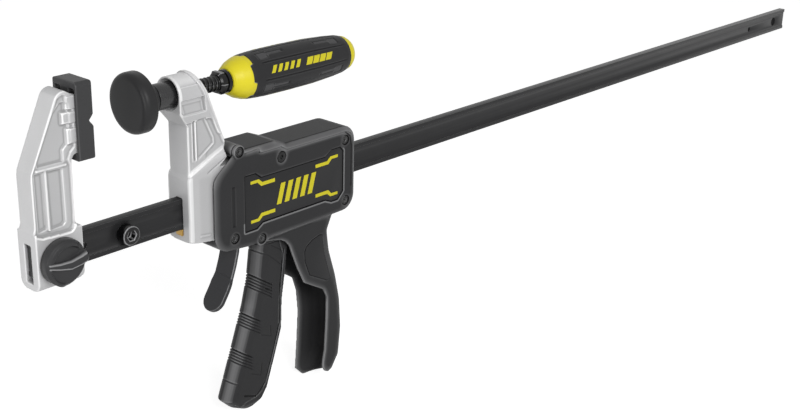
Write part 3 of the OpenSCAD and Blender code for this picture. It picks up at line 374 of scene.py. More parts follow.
def prism(poly, y0, y1, base):
    """Points and faces of a flat plate with its outline drawn in X and Z, counted from base."""
    n = len(poly)
    verts = [(x, y, z) for y in (y0, y1) for x, z in poly]
    sides = [(i, (i + 1) % n, n + (i + 1) % n, n + i) for i in range(n)]
    faces = [tuple(reversed(range(n)))] + sides + [tuple(range(n, 2 * n))]
    return verts, [tuple(base + i for i in f) for f in faces]


def remeshed(name, node, voxel, fill=None):
    """The given node as one even and closed mesh, joined with a plate (outline, half thickness)."""
    ob = cad_copy(name, node)
    if fill:
        verts = [tuple(v.co / MM) for v in ob.data.vertices]
        faces = [tuple(p.vertices) for p in ob.data.polygons]
        plate = prism(fill[0], -fill[1], fill[1], len(verts))
        bpy.data.objects.remove(ob)
        ob = new_object(name, verts + plate[0], faces + plate[1])
    m = ob.modifiers.new("remesh", "REMESH")
    m.mode = "VOXEL"
    m.voxel_size = voxel * MM
    ob = baked(ob, name)
    ob.data.shade_smooth()
    return ob


def to_segment(p, a, ab):
    """Distance of the 2-D points p to the line from a to a + ab."""
    t = np.clip(((p - a) @ ab) / max(ab @ ab, TINY), 0, 1)
    return np.linalg.norm(p - a - t[:, None] * ab, axis=1)


def outline_distance(p, poly):
    """Signed distance of the 2-D points p to a closed outline, positive inside."""
    poly = np.asarray(poly, float)
    best = np.full(len(p), FAR)
    inside = np.zeros(len(p), bool)
    for a, b in zip(poly, np.roll(poly, -1, 0)):
        ab = b - a
        best = np.minimum(best, to_segment(p, a, ab))
        cross = (a[1] > p[:, 1]) != (b[1] > p[:, 1])
        with np.errstate(divide="ignore", invalid="ignore"):
            x = a[0] + (p[:, 1] - a[1]) * ab[0] / (ab[1] if ab[1] else TINY)
        inside ^= cross & (p[:, 0] < x)
    return np.where(inside, best, -best)


def smooth(a, b, v):
    """A soft step: 0 where v is at a, 1 where it is at b, which may be the smaller one."""
    t = np.clip((v - a) / (b - a), 0, 1)
    return t * t * (3 - 2 * t)


def near_line(p, pts):
    """Distance of the 2-D points p to an open polyline."""
    best = np.full(len(p), FAR)
    for a, b in zip(np.asarray(pts[:-1], float), np.asarray(pts[1:], float)):
        best = np.minimum(best, to_segment(p, a, b - a))
    return best


def arc(c, r, a0, a1, n=8):
    """Points on part of a circle, between two angles in degrees."""
    turns = [math.radians(a0 + (a1 - a0) * i / n) for i in range(n + 1)]
    return [(c[0] + r * math.cos(t), c[1] + r * math.sin(t)) for t in turns]


def rounded_profile(pts, radii, n=5):
    """A polyline with its inner corners rounded to the given radii."""
    out = [pts[0]]
    for i in range(1, len(pts) - 1):
        p, a, b = (np.array(q, float) for q in (pts[i], pts[i - 1], pts[i + 1]))
        r = radii[i - 1]
        if r <= 0:
            out.append(tuple(p))
            continue
        u, v = (a - p) / np.linalg.norm(a - p), (b - p) / np.linalg.norm(b - p)
        half = math.acos(max(-1, min(1, float(u @ v)))) / 2
        d = min(r / math.tan(half), 0.49 * np.linalg.norm(a - p), 0.49 * np.linalg.norm(b - p))
        s, e = p + u * d, p + v * d
        for k in range(n + 1):
            t = k / n
            out.append(tuple((1 - t) ** 2 * s + 2 * t * (1 - t) * p + t ** 2 * e))
    out.append(pts[-1])
    return out


def tube(name, radius_at, xs, sides):
    """A closed surface round the screw's axis, with its radius from radius_at(x, angle)."""
    angles = np.arange(sides) * TURN / sides
    verts, faces = [], []
    for x in xs:
        for t in angles:
            r = radius_at(x, t)
            verts.append((x, -r * math.cos(t), r * math.sin(t)))
    for i in range(len(xs) - 1):
        a, b = i * sides, (i + 1) * sides
        for k in range(sides):
            k2 = (k + 1) % sides
            faces.append((a + k, b + k, b + k2, a + k2))
    faces.append(tuple(range(sides)))
    faces.append(tuple((len(xs) - 1) * sides + k for k in reversed(range(sides))))
    return new_object(name, verts, faces)


def lathe(name, profile, sides=96):
    """A turned piece round the screw's axis from a list of (x, radius)."""
    verts, faces, rings = [], [], []
    for x, r in profile:
        if r < NEAR_ZERO:
            rings.append([len(verts)])
            verts.append((x, 0, 0))
            continue
        rings.append(list(range(len(verts), len(verts) + sides)))
        verts += [(x, -r * math.cos(TURN * k / sides), r * math.sin(TURN * k / sides))
                  for k in range(sides)]
    for p, q in zip(rings, rings[1:]):
        for k in range(sides):
            k2 = (k + 1) % sides
            if len(p) == 1 and len(q) == 1:
                continue
            if len(p) == 1:
                faces.append((p[0], q[k], q[k2]))
            elif len(q) == 1:
                faces.append((p[k], q[0], p[k2]))
            else:
                faces.append((p[k], q[k], q[k2], p[k2]))
    return new_object(name, verts, faces)


def crease(ob, degrees):
    """Smooth shading with sharp lines where faces turn by more than the given angle."""
    ob.data.set_sharp_from_angle(angle=math.radians(degrees))
    return ob


SHARP_DEGREES = 30


def dress(node, material, bevel=0.0, edge=None):
    """A better material, and small rounded edges, on a CAD node that stays.

    With edge, the rounded edges take that second material, a painted highlight or painted shade."""
    ob = frame["nodes"][node]
    ob.data.materials.clear()
    ob.data.materials.append(material)
    if edge:
        ob.data.materials.append(edge)
    for p in ob.data.polygons:
        p.material_index = 0
    if bevel:
        weld(ob)
        flat = ob.modifiers.new("flat", "DECIMATE")
        flat.decimate_type = "DISSOLVE"
        flat.angle_limit = math.radians(1)
        m = ob.modifiers.new("bevel", "BEVEL")
        m.width = bevel * MM
        m.segments = 2
        m.limit_method = "ANGLE"
        m.angle_limit = math.radians(SHARP_DEGREES)
        m.use_clamp_overlap = True
        m.material = 1 if edge else -1
    ob.data.shade_smooth()
    crease(ob, SHARP_DEGREES)


# ---- Castings --------------------------------------------------------------

CAST_VOXEL = 0.36
CAST_LIGHT_PASSES = 12             # passes of paint_light() on the castings, for their painted highlights and shade
NO_RELIEF = 0.01           # less than this counts as no relief
UNTOUCHED = 99             # further out than any casting
FIXED_FACE = 7.5
FIELD_DEPTH, POCKET_DEPTH = 0.7, 2.1
# plate that closes the solid's own recess in the arm, before the relief is cut
FIXED_FILL = [(-39, -24), (-39, -59.5), (-15, -59.5), (-15, -17), (-13, -12), (-13, 12), (-17, 15),
              (-24, 8)]
# sunk field of the arm, down to its rounded lower end in the foot
FIXED_FIELD = ([(-39.3, -24.5), (-39.5, -56), (-40.2, -60.0), (-36.5, -61.6), (-23, -62.4)]
               + arc((-19.5, -58.4), 4.2, -80, 0)
               + [(-15.0, -51), (-14.9, -24), (-16.2, -20.6), (-14.2, -16.5), (-11.2, -14),
                  (-11.2, 11.5), (-13.6, 15.4), (-17, 16.8), (-20.4, 15.2)])
FIXED_POCKETS = [
    [(-35.7, -21.4), (-18.7, -21.6), (-18.5, -14.5), (-14, -10.5), (-14, 12), (-18.5, 13), (-24, 7),
     (-35.9, -18.5)],
    [(-30.0, -24.6), (-19.8, -24.8), (-19.6, -56.8), (-21.8, -58.8), (-29.4, -59.4)],
    [(-38.2, -24.4), (-32.3, -24.6), (-32.1, -58.2), (-37.9, -59.2)]]
FIXED_RIBS = [[(-36.6, -23.0), (-17.6, -23.2)], [(-31.1, -24), (-31.0, -58.5)]]
# cast blocks beside the pad: rear end, lower and upper edge
LUGS = [(-15.6, 8.0, 15.8), (-18.2, 0.0, 6.6), (-15.6, -11.8, -3.0)]
LUG_FRONT = -9
LUG_FACE = 8.3
# the foot's lower corner towards the pad is round
FOOT_ROUND = 7.0
FOOT_CORNER = (-10.5 - FOOT_ROUND, -94.5 + FOOT_ROUND)


def hold_sides(co, most, where):
    """Moves points in, to at most the given distance from the middle plane."""
    held = np.sign(co[:, 1]) * np.minimum(np.abs(co[:, 1]), most)
    co[:, 1] = np.where(where, held, co[:, 1])


def fixed_relief(p):
    """How far from the middle plane the fixed jaw's sides reach at the 2-D points p."""
    depth = FIELD_DEPTH * smooth(-0.25, 0.35, outline_distance(p, FIXED_FIELD))
    for line in FIXED_RIBS:
        depth *= smooth(0.5, 1.0, near_line(p, line))
    for shape in FIXED_POCKETS:
        depth = np.maximum(depth, POCKET_DEPTH * smooth(-0.15, 0.75, outline_distance(p, shape)))
    level = np.where(depth > NO_RELIEF, FIXED_FACE - depth, UNTOUCHED)
    for x0, z0, z1 in LUGS:
        plate = [(x0, z0), (LUG_FRONT, z0), (LUG_FRONT, z1), (x0, z1)]
        block = smooth(-0.3, 0.3, outline_distance(p, plate))
        level = np.where(block > NO_RELIEF, level * (1 - block) + LUG_FACE * block, level)
    return level


def round_foot(co):
    centre = np.array(FOOT_CORNER)
    q = (co[:, [0, 2]] - centre) * (1, -1)
    far = np.hypot(q[:, 0], q[:, 1])
    beyond = (q > 0).all(1) & (far > FOOT_ROUND)
    scale = np.where(beyond, FOOT_ROUND / np.maximum(far, NEAR_ZERO), 1)
    co[:, 0], co[:, 2] = centre[0] + q[:, 0] * scale, centre[1] - q[:, 1] * scale


def fixed_jaw():
    ob = remeshed("fixed_jaw_casting", "fixed_jaw", CAST_VOXEL, (FIXED_FILL, FIXED_FACE))
    relax(ob, 6)
    co = points(ob)
    hold_sides(co, fixed_relief(co[:, [0, 2]]), np.abs(co[:, 1]) > 5.0)
    round_foot(co)
    set_points(ob, co)
    relax(ob, 2)
    co = points(ob)
    # painted shade in the arm's sunk field
    sunk = 0.055 * smooth(0, 1.5, outline_distance(co[:, [0, 2]], FIXED_FIELD))
    sunk *= smooth(FIXED_FACE + 0.3, FIXED_FACE - 0.5, np.abs(co[:, 1]))
    # painted light on the faces turned towards -X
    back = 0.08 * smooth(-0.5, -0.8, normals(ob)[:, 0])
    paint_light(ob, CAST_LIGHT_PASSES, back, sunk)
    finish(ob, CAST, "bar", "cast_silver", "fixed_jaw")


ARM_FACE, FOOT_FACE = 9.3, 10.8
BORE_R, BORE_END = 8.3, 76.0
SLANT = [(76.5, 12.4), (97.4, -34.0)]
# plate that closes the solid's own recess, as FIXED_FILL does
ARM_FILL = [(69, -16.5), (69, -44), (90, -40), (90, -30), (82, -14)]
ARM_FIELD = [(69.0, -20.4), (69.3, -50.2), (97.2, -39.6), (96.6, -34.2), (82.8, -3.5), (66.5, -3.5),
             (62.9, -4), (62.9, -11.2)]
ARM_PANEL = [(74.6, -16.8), (81.0, -16.4), (87.7, -30.8), (88.0, -34.2), (75.0, -42.7)]
ARM_SLOT = [(71.9, -16.8), (73.3, -16.8), (73.4, -42.3), (72.0, -42.3)]
ARM_UPPER = [(63.6, -4.6), (79.4, -4.4), (80.9, -12.6), (66.0, -13.2)]
# depth of each sunk shape, and the soft step at its outline
ARM_SUNK = [(1.15, -0.1, 0.5, ARM_PANEL), (0.7, -0.5, 1.2, ARM_UPPER), (2.0, -0.1, 0.35, ARM_SLOT)]
# thin walls left standing beside the slot
ARM_WALLS = [(0.3, 0.7, [(71.2, -17), (71.3, -42.5)]), (0.2, 0.6, [(74.0, -17), (74.1, -42.5)])]
SHOULDER = [(66.6, -52.5), (97.4, -40.6)]
# lines that painted highlights follow: the shoulder and the slanted rim
SHOULDER_LIGHT = [(67.4, -50.4), (94.8, -38.7)]
RIM_LIGHT = [(79.5, 5.7), (97.0, -33.1)]
FOOT_LINE = [(81.5, -51.9), (96.1, -44.9)]
FOOT_MARK = [(74.2, -91.9), (81.6, -92.8)]


def arm_depth(p):
    """How deep the moving jaw's arm is sunk at the 2-D points p."""
    field = smooth(-0.3, 0.3, outline_distance(p, ARM_FIELD))
    field *= smooth(1.7, 2.3, near_line(p, SLANT))
    # the field falls away from the panel towards the rim
    fall = smooth(0.3, 1.6, -outline_distance(p, ARM_PANEL)) * smooth(80.5, 83, p[:, 0])
    depth = field * (0.35 + 0.45 * fall)
    for a, b, wall in ARM_WALLS:
        depth *= smooth(a, b, near_line(p, wall))
    for deep, a, b, shape in ARM_SUNK:
        depth = np.maximum(depth, deep * smooth(a, b, outline_distance(p, shape)))
    return depth


def round_shoulder(ob):
    """The foot's upright front edges and its shoulder are rounder than the rest."""
    co = points(ob)
    x, side, z = co[:, 0], np.abs(co[:, 1]), co[:, 2]
    foot = smooth(-50, -54, z) * smooth(5.5, 7.5, side) * smooth(73, 70, x)
    shoulder = smooth(3.2, 1.6, near_line(co[:, [0, 2]], SHOULDER)) * smooth(7, 8.5, side)
    relax(ob, 60, np.maximum(foot, shoulder))


def paint_moving_jaw_light(ob, co):
    """Painted highlight bands on edges and on the boss, and painted shade in the sunk fields."""
    n = normals(ob)
    p, side = co[:, [0, 2]], np.abs(co[:, 1])
    x, z = p.T
    on_face = smooth(7.5, 8.6, side)
    # painted highlight bands along the shoulder, the slanted rim and the foot's upright edges
    shoulder = 0.19 * smooth(2.0, 1.0, near_line(p, SHOULDER_LIGHT)) * on_face
    rim = 0.14 * smooth(2.0, 1.4, near_line(p, RIM_LIGHT)) * on_face
    upright = 0.16 * (smooth(70.0, 69.0, x) * smooth(-51, -53, z) * smooth(8.0, 9.2, side))
    # the boss gets a painted highlight on top and round its front rim
    boss = smooth(-19, -15, z)
    top = 0.15 * smooth(0.35, 0.8, n[:, 2]) * boss
    ring = 0.2 * smooth(63.6, 62.9, x) * smooth(-0.8, -0.5, n[:, 0]) * boss
    light = np.max([shoulder, upright, top, ring, rim], 0)
    # painted shade in the arm's sunk field, in its slot and low on the foot
    sunk = (0.05 * smooth(0.5, 2.5, outline_distance(p, ARM_FIELD))
            * smooth(ARM_FACE + 0.4, ARM_FACE - 0.2, side))
    sunk += (0.2 * smooth(-0.1, 0.4, outline_distance(p, ARM_SLOT))
             * smooth(ARM_FACE - 0.3, ARM_FACE - 0.9, side))
    sunk += 0.06 * smooth(71, 76, x) * smooth(-50, -56, z)
    paint_light(ob, CAST_LIGHT_PASSES, light, sunk)


def moving_jaw():
    ob = remeshed("moving_jaw_casting", "moving_jaw", CAST_VOXEL, (ARM_FILL, ARM_FACE))
    round_shoulder(ob)
    relax(ob, 6)
    co = points(ob)
    p, side = co[:, [0, 2]], np.abs(co[:, 1])
    x, z = p.T
    on_arm = (side > 6.5) & (side < ARM_FACE + 0.4) & (x > 61.5) & (x < 97) & (z > -50.5)
    hold_sides(co, ARM_FACE - arm_depth(p), on_arm)
    # foot: a step near the housing and a raised cast mark
    on_foot = (side > FOOT_FACE - 0.5) & (z < -42)
    cut = (0.45 * smooth(0.6, 0.15, near_line(p, FOOT_LINE))
           - 0.35 * smooth(0.75, 0.35, near_line(p, FOOT_MARK)))
    co[:, 1] = np.where(on_foot, np.sign(co[:, 1]) * (side - cut), co[:, 1])
    set_points(ob, co)
    relax(ob, 2)
    # the sleeve's bore keeps its full width
    co = points(ob)
    r = np.hypot(co[:, 1], co[:, 2])
    narrow = (r > BORE_R - 1.2) & (r < BORE_R) & (co[:, 0] < BORE_END)
    co[:, 1:] *= np.where(narrow, BORE_R / r, 1)[:, None]
    set_points(ob, co)
    paint_moving_jaw_light(ob, co)
    finish(ob, CAST, "carriage", "cast_silver", "moving_jaw")


# ---- Housing ---------------------------------------------------------------

# outlines on the housing's side, from its front end at the bar's middle
BADGE = [(24, 17), (33, 17), (38, 13.2), (96, 13.2), (102, 17), (110, 17), (113, 14), (113, -15),
         (108, -20), (102, -20), (96, -17.5), (39, -17.5), (34, -20.7), (24, -20.7)]
COVER_Y = SIDE_Y - WALL
COVER_SEAM = [(36.6, 30.6), (38.9, 31.7), (59.8, 29.8), (63.3, 27.7), (114.6, 27.2), (119.5, 23.1),
              (120.9, 16.0), (121.1, -13.1)]
SCREWS = [(20, 34.4), (115.2, 21), (115.8, -22.6), (15.2, -22.5), (38.3, -28.9)]
SCREW_R = 3.1
# reach of the painted highlights and shade on the housing
HOUSING_LIGHT_REACH = {"passes": 14, "broad": 150}


def side_cover():
    ob = remeshed("side_cover_shell", "side_cover", 0.42)
    relax(ob, 5)
    co = points(ob)
    p, side = co[:, [0, 2]] - np.array([HOUSING_X, BAR_Z]), -co[:, 1]
    face = smooth(SIDE_Y - 1.5, SIDE_Y - 1.1, side)
    # a painted shadow round the panel and a painted highlight on the step below and behind it
    rim = outline_distance(p, BADGE)
    low_or_rear = np.minimum(p[:, 1] + 14, 112 - p[:, 0])
    step = 0.34 * smooth(-1.9, -1.2, rim) * smooth(-0.3, -0.7, rim) * smooth(0, -1, low_or_rear)
    # painted shade in the gaps: round the panel, along the cover's edge, along its seam with the
    # housing and round each screw
    gap = 0.4 * smooth(0.6, 0.2, np.abs(rim)) + 0.4 * smooth(0.8, 0.3, np.abs(side - COVER_Y))
    beyond = smooth(COVER_Y + 0.2, COVER_Y + 0.6, side)
    gap += 0.35 * smooth(0.65, 0.2, near_line(p, COVER_SEAM)) * beyond
    ring = np.min([np.abs(np.hypot(p[:, 0] - x, p[:, 1] - z) - SCREW_R) for x, z in SCREWS], 0)
    gap += 0.4 * smooth(0.7, 0.2, ring) * face
    paint_light(ob, lines=step * face, shade_lines=gap, **HOUSING_LIGHT_REACH)
    finish(ob, HOUSING, "carriage", "housing_plastic", "side_cover")


def housing_shell():
    ob = remeshed("housing_shell", "housing_body", 0.5)
    # the channel inside the rear handle is one smooth hollow
    co = points(ob)
    inside = smooth(-106, -112, co[:, 2]) * smooth(GRIP_Y - 1.9, GRIP_Y - 2.6, np.abs(co[:, 1]))
    relax(ob, 90, inside)
    relax(ob, 6)
    co = points(ob)
    # painted shade along the housing's seam with the side cover
    gap = 0.4 * smooth(0.8, 0.3, np.abs(co[:, 1] + COVER_Y)) * smooth(-106, -102, co[:, 2])
    paint_light(ob, shade_lines=gap, **HOUSING_LIGHT_REACH)
    finish(ob, HOUSING, "carriage", "housing_plastic", "housing_body")


# ---- Trigger ---------------------------------------------------------------

# first rib of each of the three groups
RIBS = [(118.6, -133.4), (107.5, -156.6), (99.9, -181.0)]
RIB_SLOPE = 0.68
RIB_STEP = 2.25
RIB_DEPTHS = (0.8, 0.5, 0.5, 0.5, 0.5)
SEAM_CUT = (0.55, 0.5)     # depth and half width
SEAM = [(147.3, -122.4), (144.0, -145.8), (142.9, -175.4), (137.2, -193.6), (129.1, -216.2),
        (120.5, -223.8), (109.9, -219.6)]
FINE_LINES = [
    [(144.1, -132.4), (133.6, -123.1), (124, -118.5)], [(147.2, -123.6), (135.9, -116.6)],
    [(133.3, -142.4), (136.3, -143.6), (135.6, -154.8)], [(130.5, -146.5), (134, -148.5)],
    [(134.4, -174.9), (134.9, -182.8), (126.0, -179.2)],
    [(126.3, -200.4), (125.0, -209.2), (116.8, -205.2)],
    [(90, -202), (96.2, -204.9), (105.7, -209.7)]]


def engrave(ob, lines, depth, half):
    """Sinks the surface along polylines drawn in X and Z."""
    co = points(ob)
    near = np.min([near_line(co[:, [0, 2]], line) for line in lines], 0)
    co -= normals(ob) * (depth * smooth(half + 0.25, half - 0.25, near))[:, None]
    set_points(ob, co)


def cut_ribs(ob):
    """Slanted grooves across the front of the grip."""
    co, n = points(ob), normals(ob)
    depth = np.zeros(len(co))
    for x0, z0 in RIBS:
        along = (co[:, 2] - z0) + RIB_SLOPE * (co[:, 0] - x0)
        across = smooth(x0 + 20, x0 + 16, co[:, 0])
        for k, deep in enumerate(RIB_DEPTHS):
            groove = smooth(0.75, 0.2, np.abs(along + RIB_STEP * k))
            depth = np.maximum(depth, groove * across * deep)
    co -= n * (depth * (n[:, 0] < 0.3))[:, None]
    set_points(ob, co)


def trigger():
    ob = remeshed("trigger_hard_core", "trigger_core", 0.45)
    relax(ob, 5)
    engrave(ob, [SEAM], *SEAM_CUT)
    # painted highlights on the proud edges and painted shade in the creases
    paint_light(ob)
    finish(ob, HOUSING, "trigger", "housing_plastic", "trigger_core")

    ob = remeshed("trigger_soft_grip", "trigger_grip", 0.36)
    relax(ob, 6)
    cut_ribs(ob)
    engrave(ob, [SEAM], *SEAM_CUT)
    engrave(ob, FINE_LINES, 0.3, 0.45)
    n = normals(ob)
    # painted shade along the seam, with painted highlights on the proud edges
    paint_light(ob, shade_lines=0.3 * smooth(0.75, 0.3, near_line(points(ob)[:, [0, 2]], SEAM)), most=0.07)
    # a painted highlight band down the grip's front, where the fingers lie
    add_highlight_band(ob, 0.24 * smooth(0.72, 0.99, -0.9 * n[:, 0] - 0.42 * n[:, 1]))
    finish(ob, RUBBER, "trigger", "soft_grip", "trigger_grip")


# ---- Knob ------------------------------------------------------------------

KNOB = (-26.7, -77.5)
KNOB_R, KNOB_BACK, KNOB_FRONT = 13.9, -9.5, -18.1
KNOB_RINGS, KNOB_SIDES = 64, 240
KNOB_SIDE, KNOB_CHAMFER = 3.2, 0.8
# the pointer at the end of the ridge: X and Z from the knob's middle, at its front and back
POINTER_FRONT = [(8, 2.1), (14.2, 3.2), (14.2, -1.0), (8, -2.6)]
POINTER_BACK = [(8, 2.5), (14.5, 2.4), (14.5, -4.4), (8, -5.5)]
POINTER_Y = (KNOB_FRONT + 0.15, KNOB_BACK - 1.5)
POINTER_DROP = 0.7         # its outer end lies this much further back
# the ridge across the face: its upper and its lower edge
RIDGE_TOP = [(-12.5, 2.4), (-5.6, 1.3), (1.9, 1.0), (8.7, 2.3), (12.2, 3.4)]
RIDGE_LOW = [(-12.5, 0.2), (-6.2, -1.7), (1.5, -3.5), (8.4, -2.6), (14.0, -1.0)]


def knob_depth(x, z):
    """How far the knob's face lies behind its front plane at a place on the face."""
    r = math.hypot(x, z)
    top = np.interp(x, *zip(*RIDGE_TOP))
    low = np.interp(x, *zip(*RIDGE_LOW))
    lip = smooth(10.4, 11.6, math.hypot(x - 0.5, z + 1.0)) * smooth(10, 5, x)
    upper = smooth(0, 1.3, z - top) * (2.2 + 1.5 * smooth(-8, 10, x)) * (1 - lip)
    lip = smooth(11.0, 12.0, r) * smooth(0, -6, x)
    lower = smooth(0, 1.5, low - z) * (1.8 + 1.4 * smooth(-8, 10, x)) * (1 - lip)
    return float(max(upper, lower) + 1.3 * smooth(11.9, KNOB_R, r) ** 2)


def knob_disc():
    """The face in rings, closer together towards the rim, then the side and a chamfer."""
    sides = KNOB_SIDES
    angles = [TURN * k / sides for k in range(sides)]
    verts, faces = [(KNOB[0], KNOB_FRONT + knob_depth(0, 0), KNOB[1])], []
    for i in range(1, KNOB_RINGS + 1):
        r = KNOB_R * (i / KNOB_RINGS) ** 0.85
        for t in angles:
            x, z = r * math.cos(t), r * math.sin(t)
            verts.append((KNOB[0] + x, KNOB_FRONT + knob_depth(x, z), KNOB[1] + z))
    base = len(verts)
    rim = [v[1] for v in verts[-sides:]]
    for y, r in ((KNOB_FRONT + KNOB_SIDE, KNOB_R), (KNOB_BACK - KNOB_CHAMFER, KNOB_R),
                 (KNOB_BACK, KNOB_R - KNOB_CHAMFER)):
        for t, low in zip(angles, rim):
            verts.append((KNOB[0] + r * math.cos(t), max(y, low + 0.3), KNOB[1] + r * math.sin(t)))
    for k in range(sides):
        k2 = (k + 1) % sides
        faces.append((0, 1 + k2, 1 + k))
        for i in range(KNOB_RINGS + 2):
            a, b = 1 + i * sides, 1 + (i + 1) * sides
            faces.append((a + k, a + k2, b + k2, b + k))
    faces.append(tuple(base + 2 * sides + k for k in range(sides)))
    return new_object("knob_disc", verts, faces)


def knob_pointer():
    front, back = POINTER_Y
    places = [(x, front if x == POINTER_FRONT[0][0] else front + POINTER_DROP, z)
              for x, z in POINTER_FRONT] + [(x, back, z) for x, z in POINTER_BACK]
    faces = [(0, 1, 2, 3), (7, 6, 5, 4), (0, 4, 5, 1), (1, 5, 6, 2), (2, 6, 7, 3), (3, 7, 4, 0)]
    ob = new_object("knob_pointer", [(KNOB[0] + x, y, KNOB[1] + z) for x, y, z in places], faces)
    m = ob.modifiers.new("bevel", "BEVEL")
    m.width = 0.8 * MM
    m.segments = 3
    ob = baked(ob, "knob_pointer")
    ob.data.shade_smooth()
    # painted highlights on the pointer's edges
    paint_light(ob, 2)
    finish(ob, TRIM, "lock", "black_plastic")


def knob():
    ob = knob_disc()
    knob_pointer()
    co = points(ob)
    p = co[:, [0, 2]] - np.array(KNOB)
    on_face = co[:, 1] < KNOB_FRONT + 2.2
    # painted highlight lines along both edges of the ridge
    ridge = smooth(0.75, 0.25, np.minimum(near_line(p, RIDGE_TOP), near_line(p, RIDGE_LOW)))
    paint_light(ob, 0, np.where(on_face, 0.3 * ridge, 0))
    finish(ob, TRIM, "lock", "black_plastic", "lock_knob")


# ---- Screw line ------------------------------------------------------------

def swivel_pad():
    face = lathe("pad_cover_cap", rounded_profile(
        [(31.0, 0), (31.0, 18.6), (40.0, 18.6), (40.0, 16.2), (34.0, 14.2), (34.0, 0)],
        [4.6, 0.8, 0, 0], 9), 128)
    finish(face, SHADED_PAD, "pad", "pad_rubber", "pad_cover")
    neck = lathe("pad_core_body", rounded_profile(
        [(34.0, 0), (34.0, 14.2), (40.0, 16.2), (41.2, 16.0), (42.6, 12.0), (45.6, 9.8),
         (48.5, 9.2), (48.5, 7.5), (45.6, 7.0)], [0, 0, 1, 3, 3, 0.8, 0.3]), 128)
    finish(neck, SHADED_PAD, "pad", "black_plastic", "pad_core")


SPINDLE_R, PITCH, THREAD = 5.0, 3.0, (70.5, 98.0)
GROOVE = 1.0
NECK_R, NECK_END = 4.0, 70.05


def spindle_radius(x, t):
    if x < NECK_END:
        return NECK_R
    phase = (x / PITCH - t / TURN) % 1.0
    groove = GROOVE * float(smooth(0.06, 0.34, phase) * smooth(0.94, 0.66, phase))
    inside = float(smooth(THREAD[0], THREAD[0] + 1, x) * smooth(THREAD[1], THREAD[1] - 1, x))
    return SPINDLE_R - groove * inside


def spindle():
    xs = [59.8, 70.0, 70.1] + list(np.arange(70.4, 98.1, 0.15)) + [112, 130, 160]
    ob = crease(tube("spindle_thread", spindle_radius, xs, 72), 50)
    finish(ob, THREAD_STEEL, "spindle", "black_steel", "spindle")


HEX_HALF, COLLAR = 6.8, (98.0, 103.0, 106.4)
HEX_SIDES, HEX_CORNER = 144, 27.2


def from_flat(t):
    """Angle from the middle of the hexagon's nearest flat to t."""
    return (t + math.pi / 6) % (math.pi / 3) - math.pi / 6


def hex_collar():
    """A hexagon with chamfered corners, then a round flange with a groove before it."""
    front, middle, rear = COLLAR
    profile = [(front, 5.05), (front, 6.1), (front + 1.3, 7.85), (middle - 0.9, 7.85),
               (middle - 0.2, 7.0), (middle, 6.3), (middle + 0.5, 6.3), (middle + 0.9, 7.3),
               (rear - 0.5, 7.55), (rear, 7.3), (rear, 5.05)]
    sides, verts, faces = HEX_SIDES, [], []
    for x, r in profile:
        for k in range(sides):
            t = TURN * k / sides
            flat = HEX_HALF / math.cos(from_flat(t))
            q = min(r, flat) if x <= middle - 0.2 else r
            verts.append((x, -q * math.sin(t), q * math.cos(t)))
    last = (len(profile) - 1) * sides
    for a in range(0, last, sides):
        for k in range(sides):
            k2 = (k + 1) % sides
            faces.append((a + k, a + k2, a + sides + k2, a + sides + k))
    faces += [(last + k, last + (k + 1) % sides, (k + 1) % sides, k) for k in range(sides)]
    ob = crease(new_object("hex_collar_nut", verts, faces), 24)
    # the hexagon's corners get a painted highlight
    for k, p in enumerate(ob.data.polygons):
        ring, t = k // sides, (k % sides + 0.5) * TURN / sides
        corner = abs(from_flat(t)) > math.radians(HEX_CORNER)
        p.material_index = int(ring in (1, 2) and corner)
    finish(ob, BLACK_STEEL, "spindle", "black_steel", "hex_collar", edge=HIGHLIGHT_STEEL)


HANDLE_X, FERRULE_END, GRIP_END, CAP_END = 106.6, 120.3, 206.5, 215.0
# places round the handle in degrees: four printed bands, and pockets in every second gap
BANDS, BAND_STEP, POCKET_AT, GROOVE_AT = (20, 110, 200, 290), 90, 63, 41.5
# pockets: front end, rear end, and the end with the wide head
GRIP_POCKETS = ((127, 149, 1), (176, 198, -1))
GRIP_R = [(106.6, 8.0), (107.6, 9.1), (112, 11.8), (117, 13.5), (120.3, 14.2), (127, 14.7),
          (134.3, 15.0), (156.3, 15.1), (176.3, 14.8), (194.5, 13.8), (203.5, 12.9), (206.5, 12.2)]
# grey floors of the pockets: front and rear end, and the angles on both sides
FLOORS = ((127.8, 135.5, -10, 10), (135.5, 147.5, 0, 6.5), (177.5, 189.5, 0, 6.5),
          (189.5, 197.2, -10, 10))
# print on each band: front and rear end of every slanted bar and of the long block's parts
PRINT_BARS = ([(132 + 5.2 * i, 135 + 5.2 * i) for i in range(5)]
              + [(162 + 6 * i, 167.2 + 6 * i) for i in range(4)])
PRINT_LEAN, PRINT_HALF = 3.0, 9


def grip_radius(x):
    return float(np.interp(x, *zip(*GRIP_R)))


def turn(t, centre, period):
    """Smallest angle from t to the nearest repeat of centre, in degrees."""
    return (t - centre + period / 2) % period - period / 2


def handle_sheet(name, x0, x1, a0, a1, lean, lift):
    """A thin curved sheet on the grip between two places along it and two angles in degrees."""
    na, nx = 7, 6
    verts, faces = [], []
    for i in range(nx + 1):
        for k in range(na + 1):
            x = x0 + (x1 - x0) * i / nx + lean * k / na
            r, t = grip_radius(x) + lift, math.radians(a0 + (a1 - a0) * k / na)
            verts.append((x, -r * math.cos(t), r * math.sin(t)))
    for i in range(nx):
        for k in range(na):
            a = i * (na + 1) + k
            faces.append((a, a + na + 1, a + na + 2, a + 1))
    return new_object(name, verts, faces)


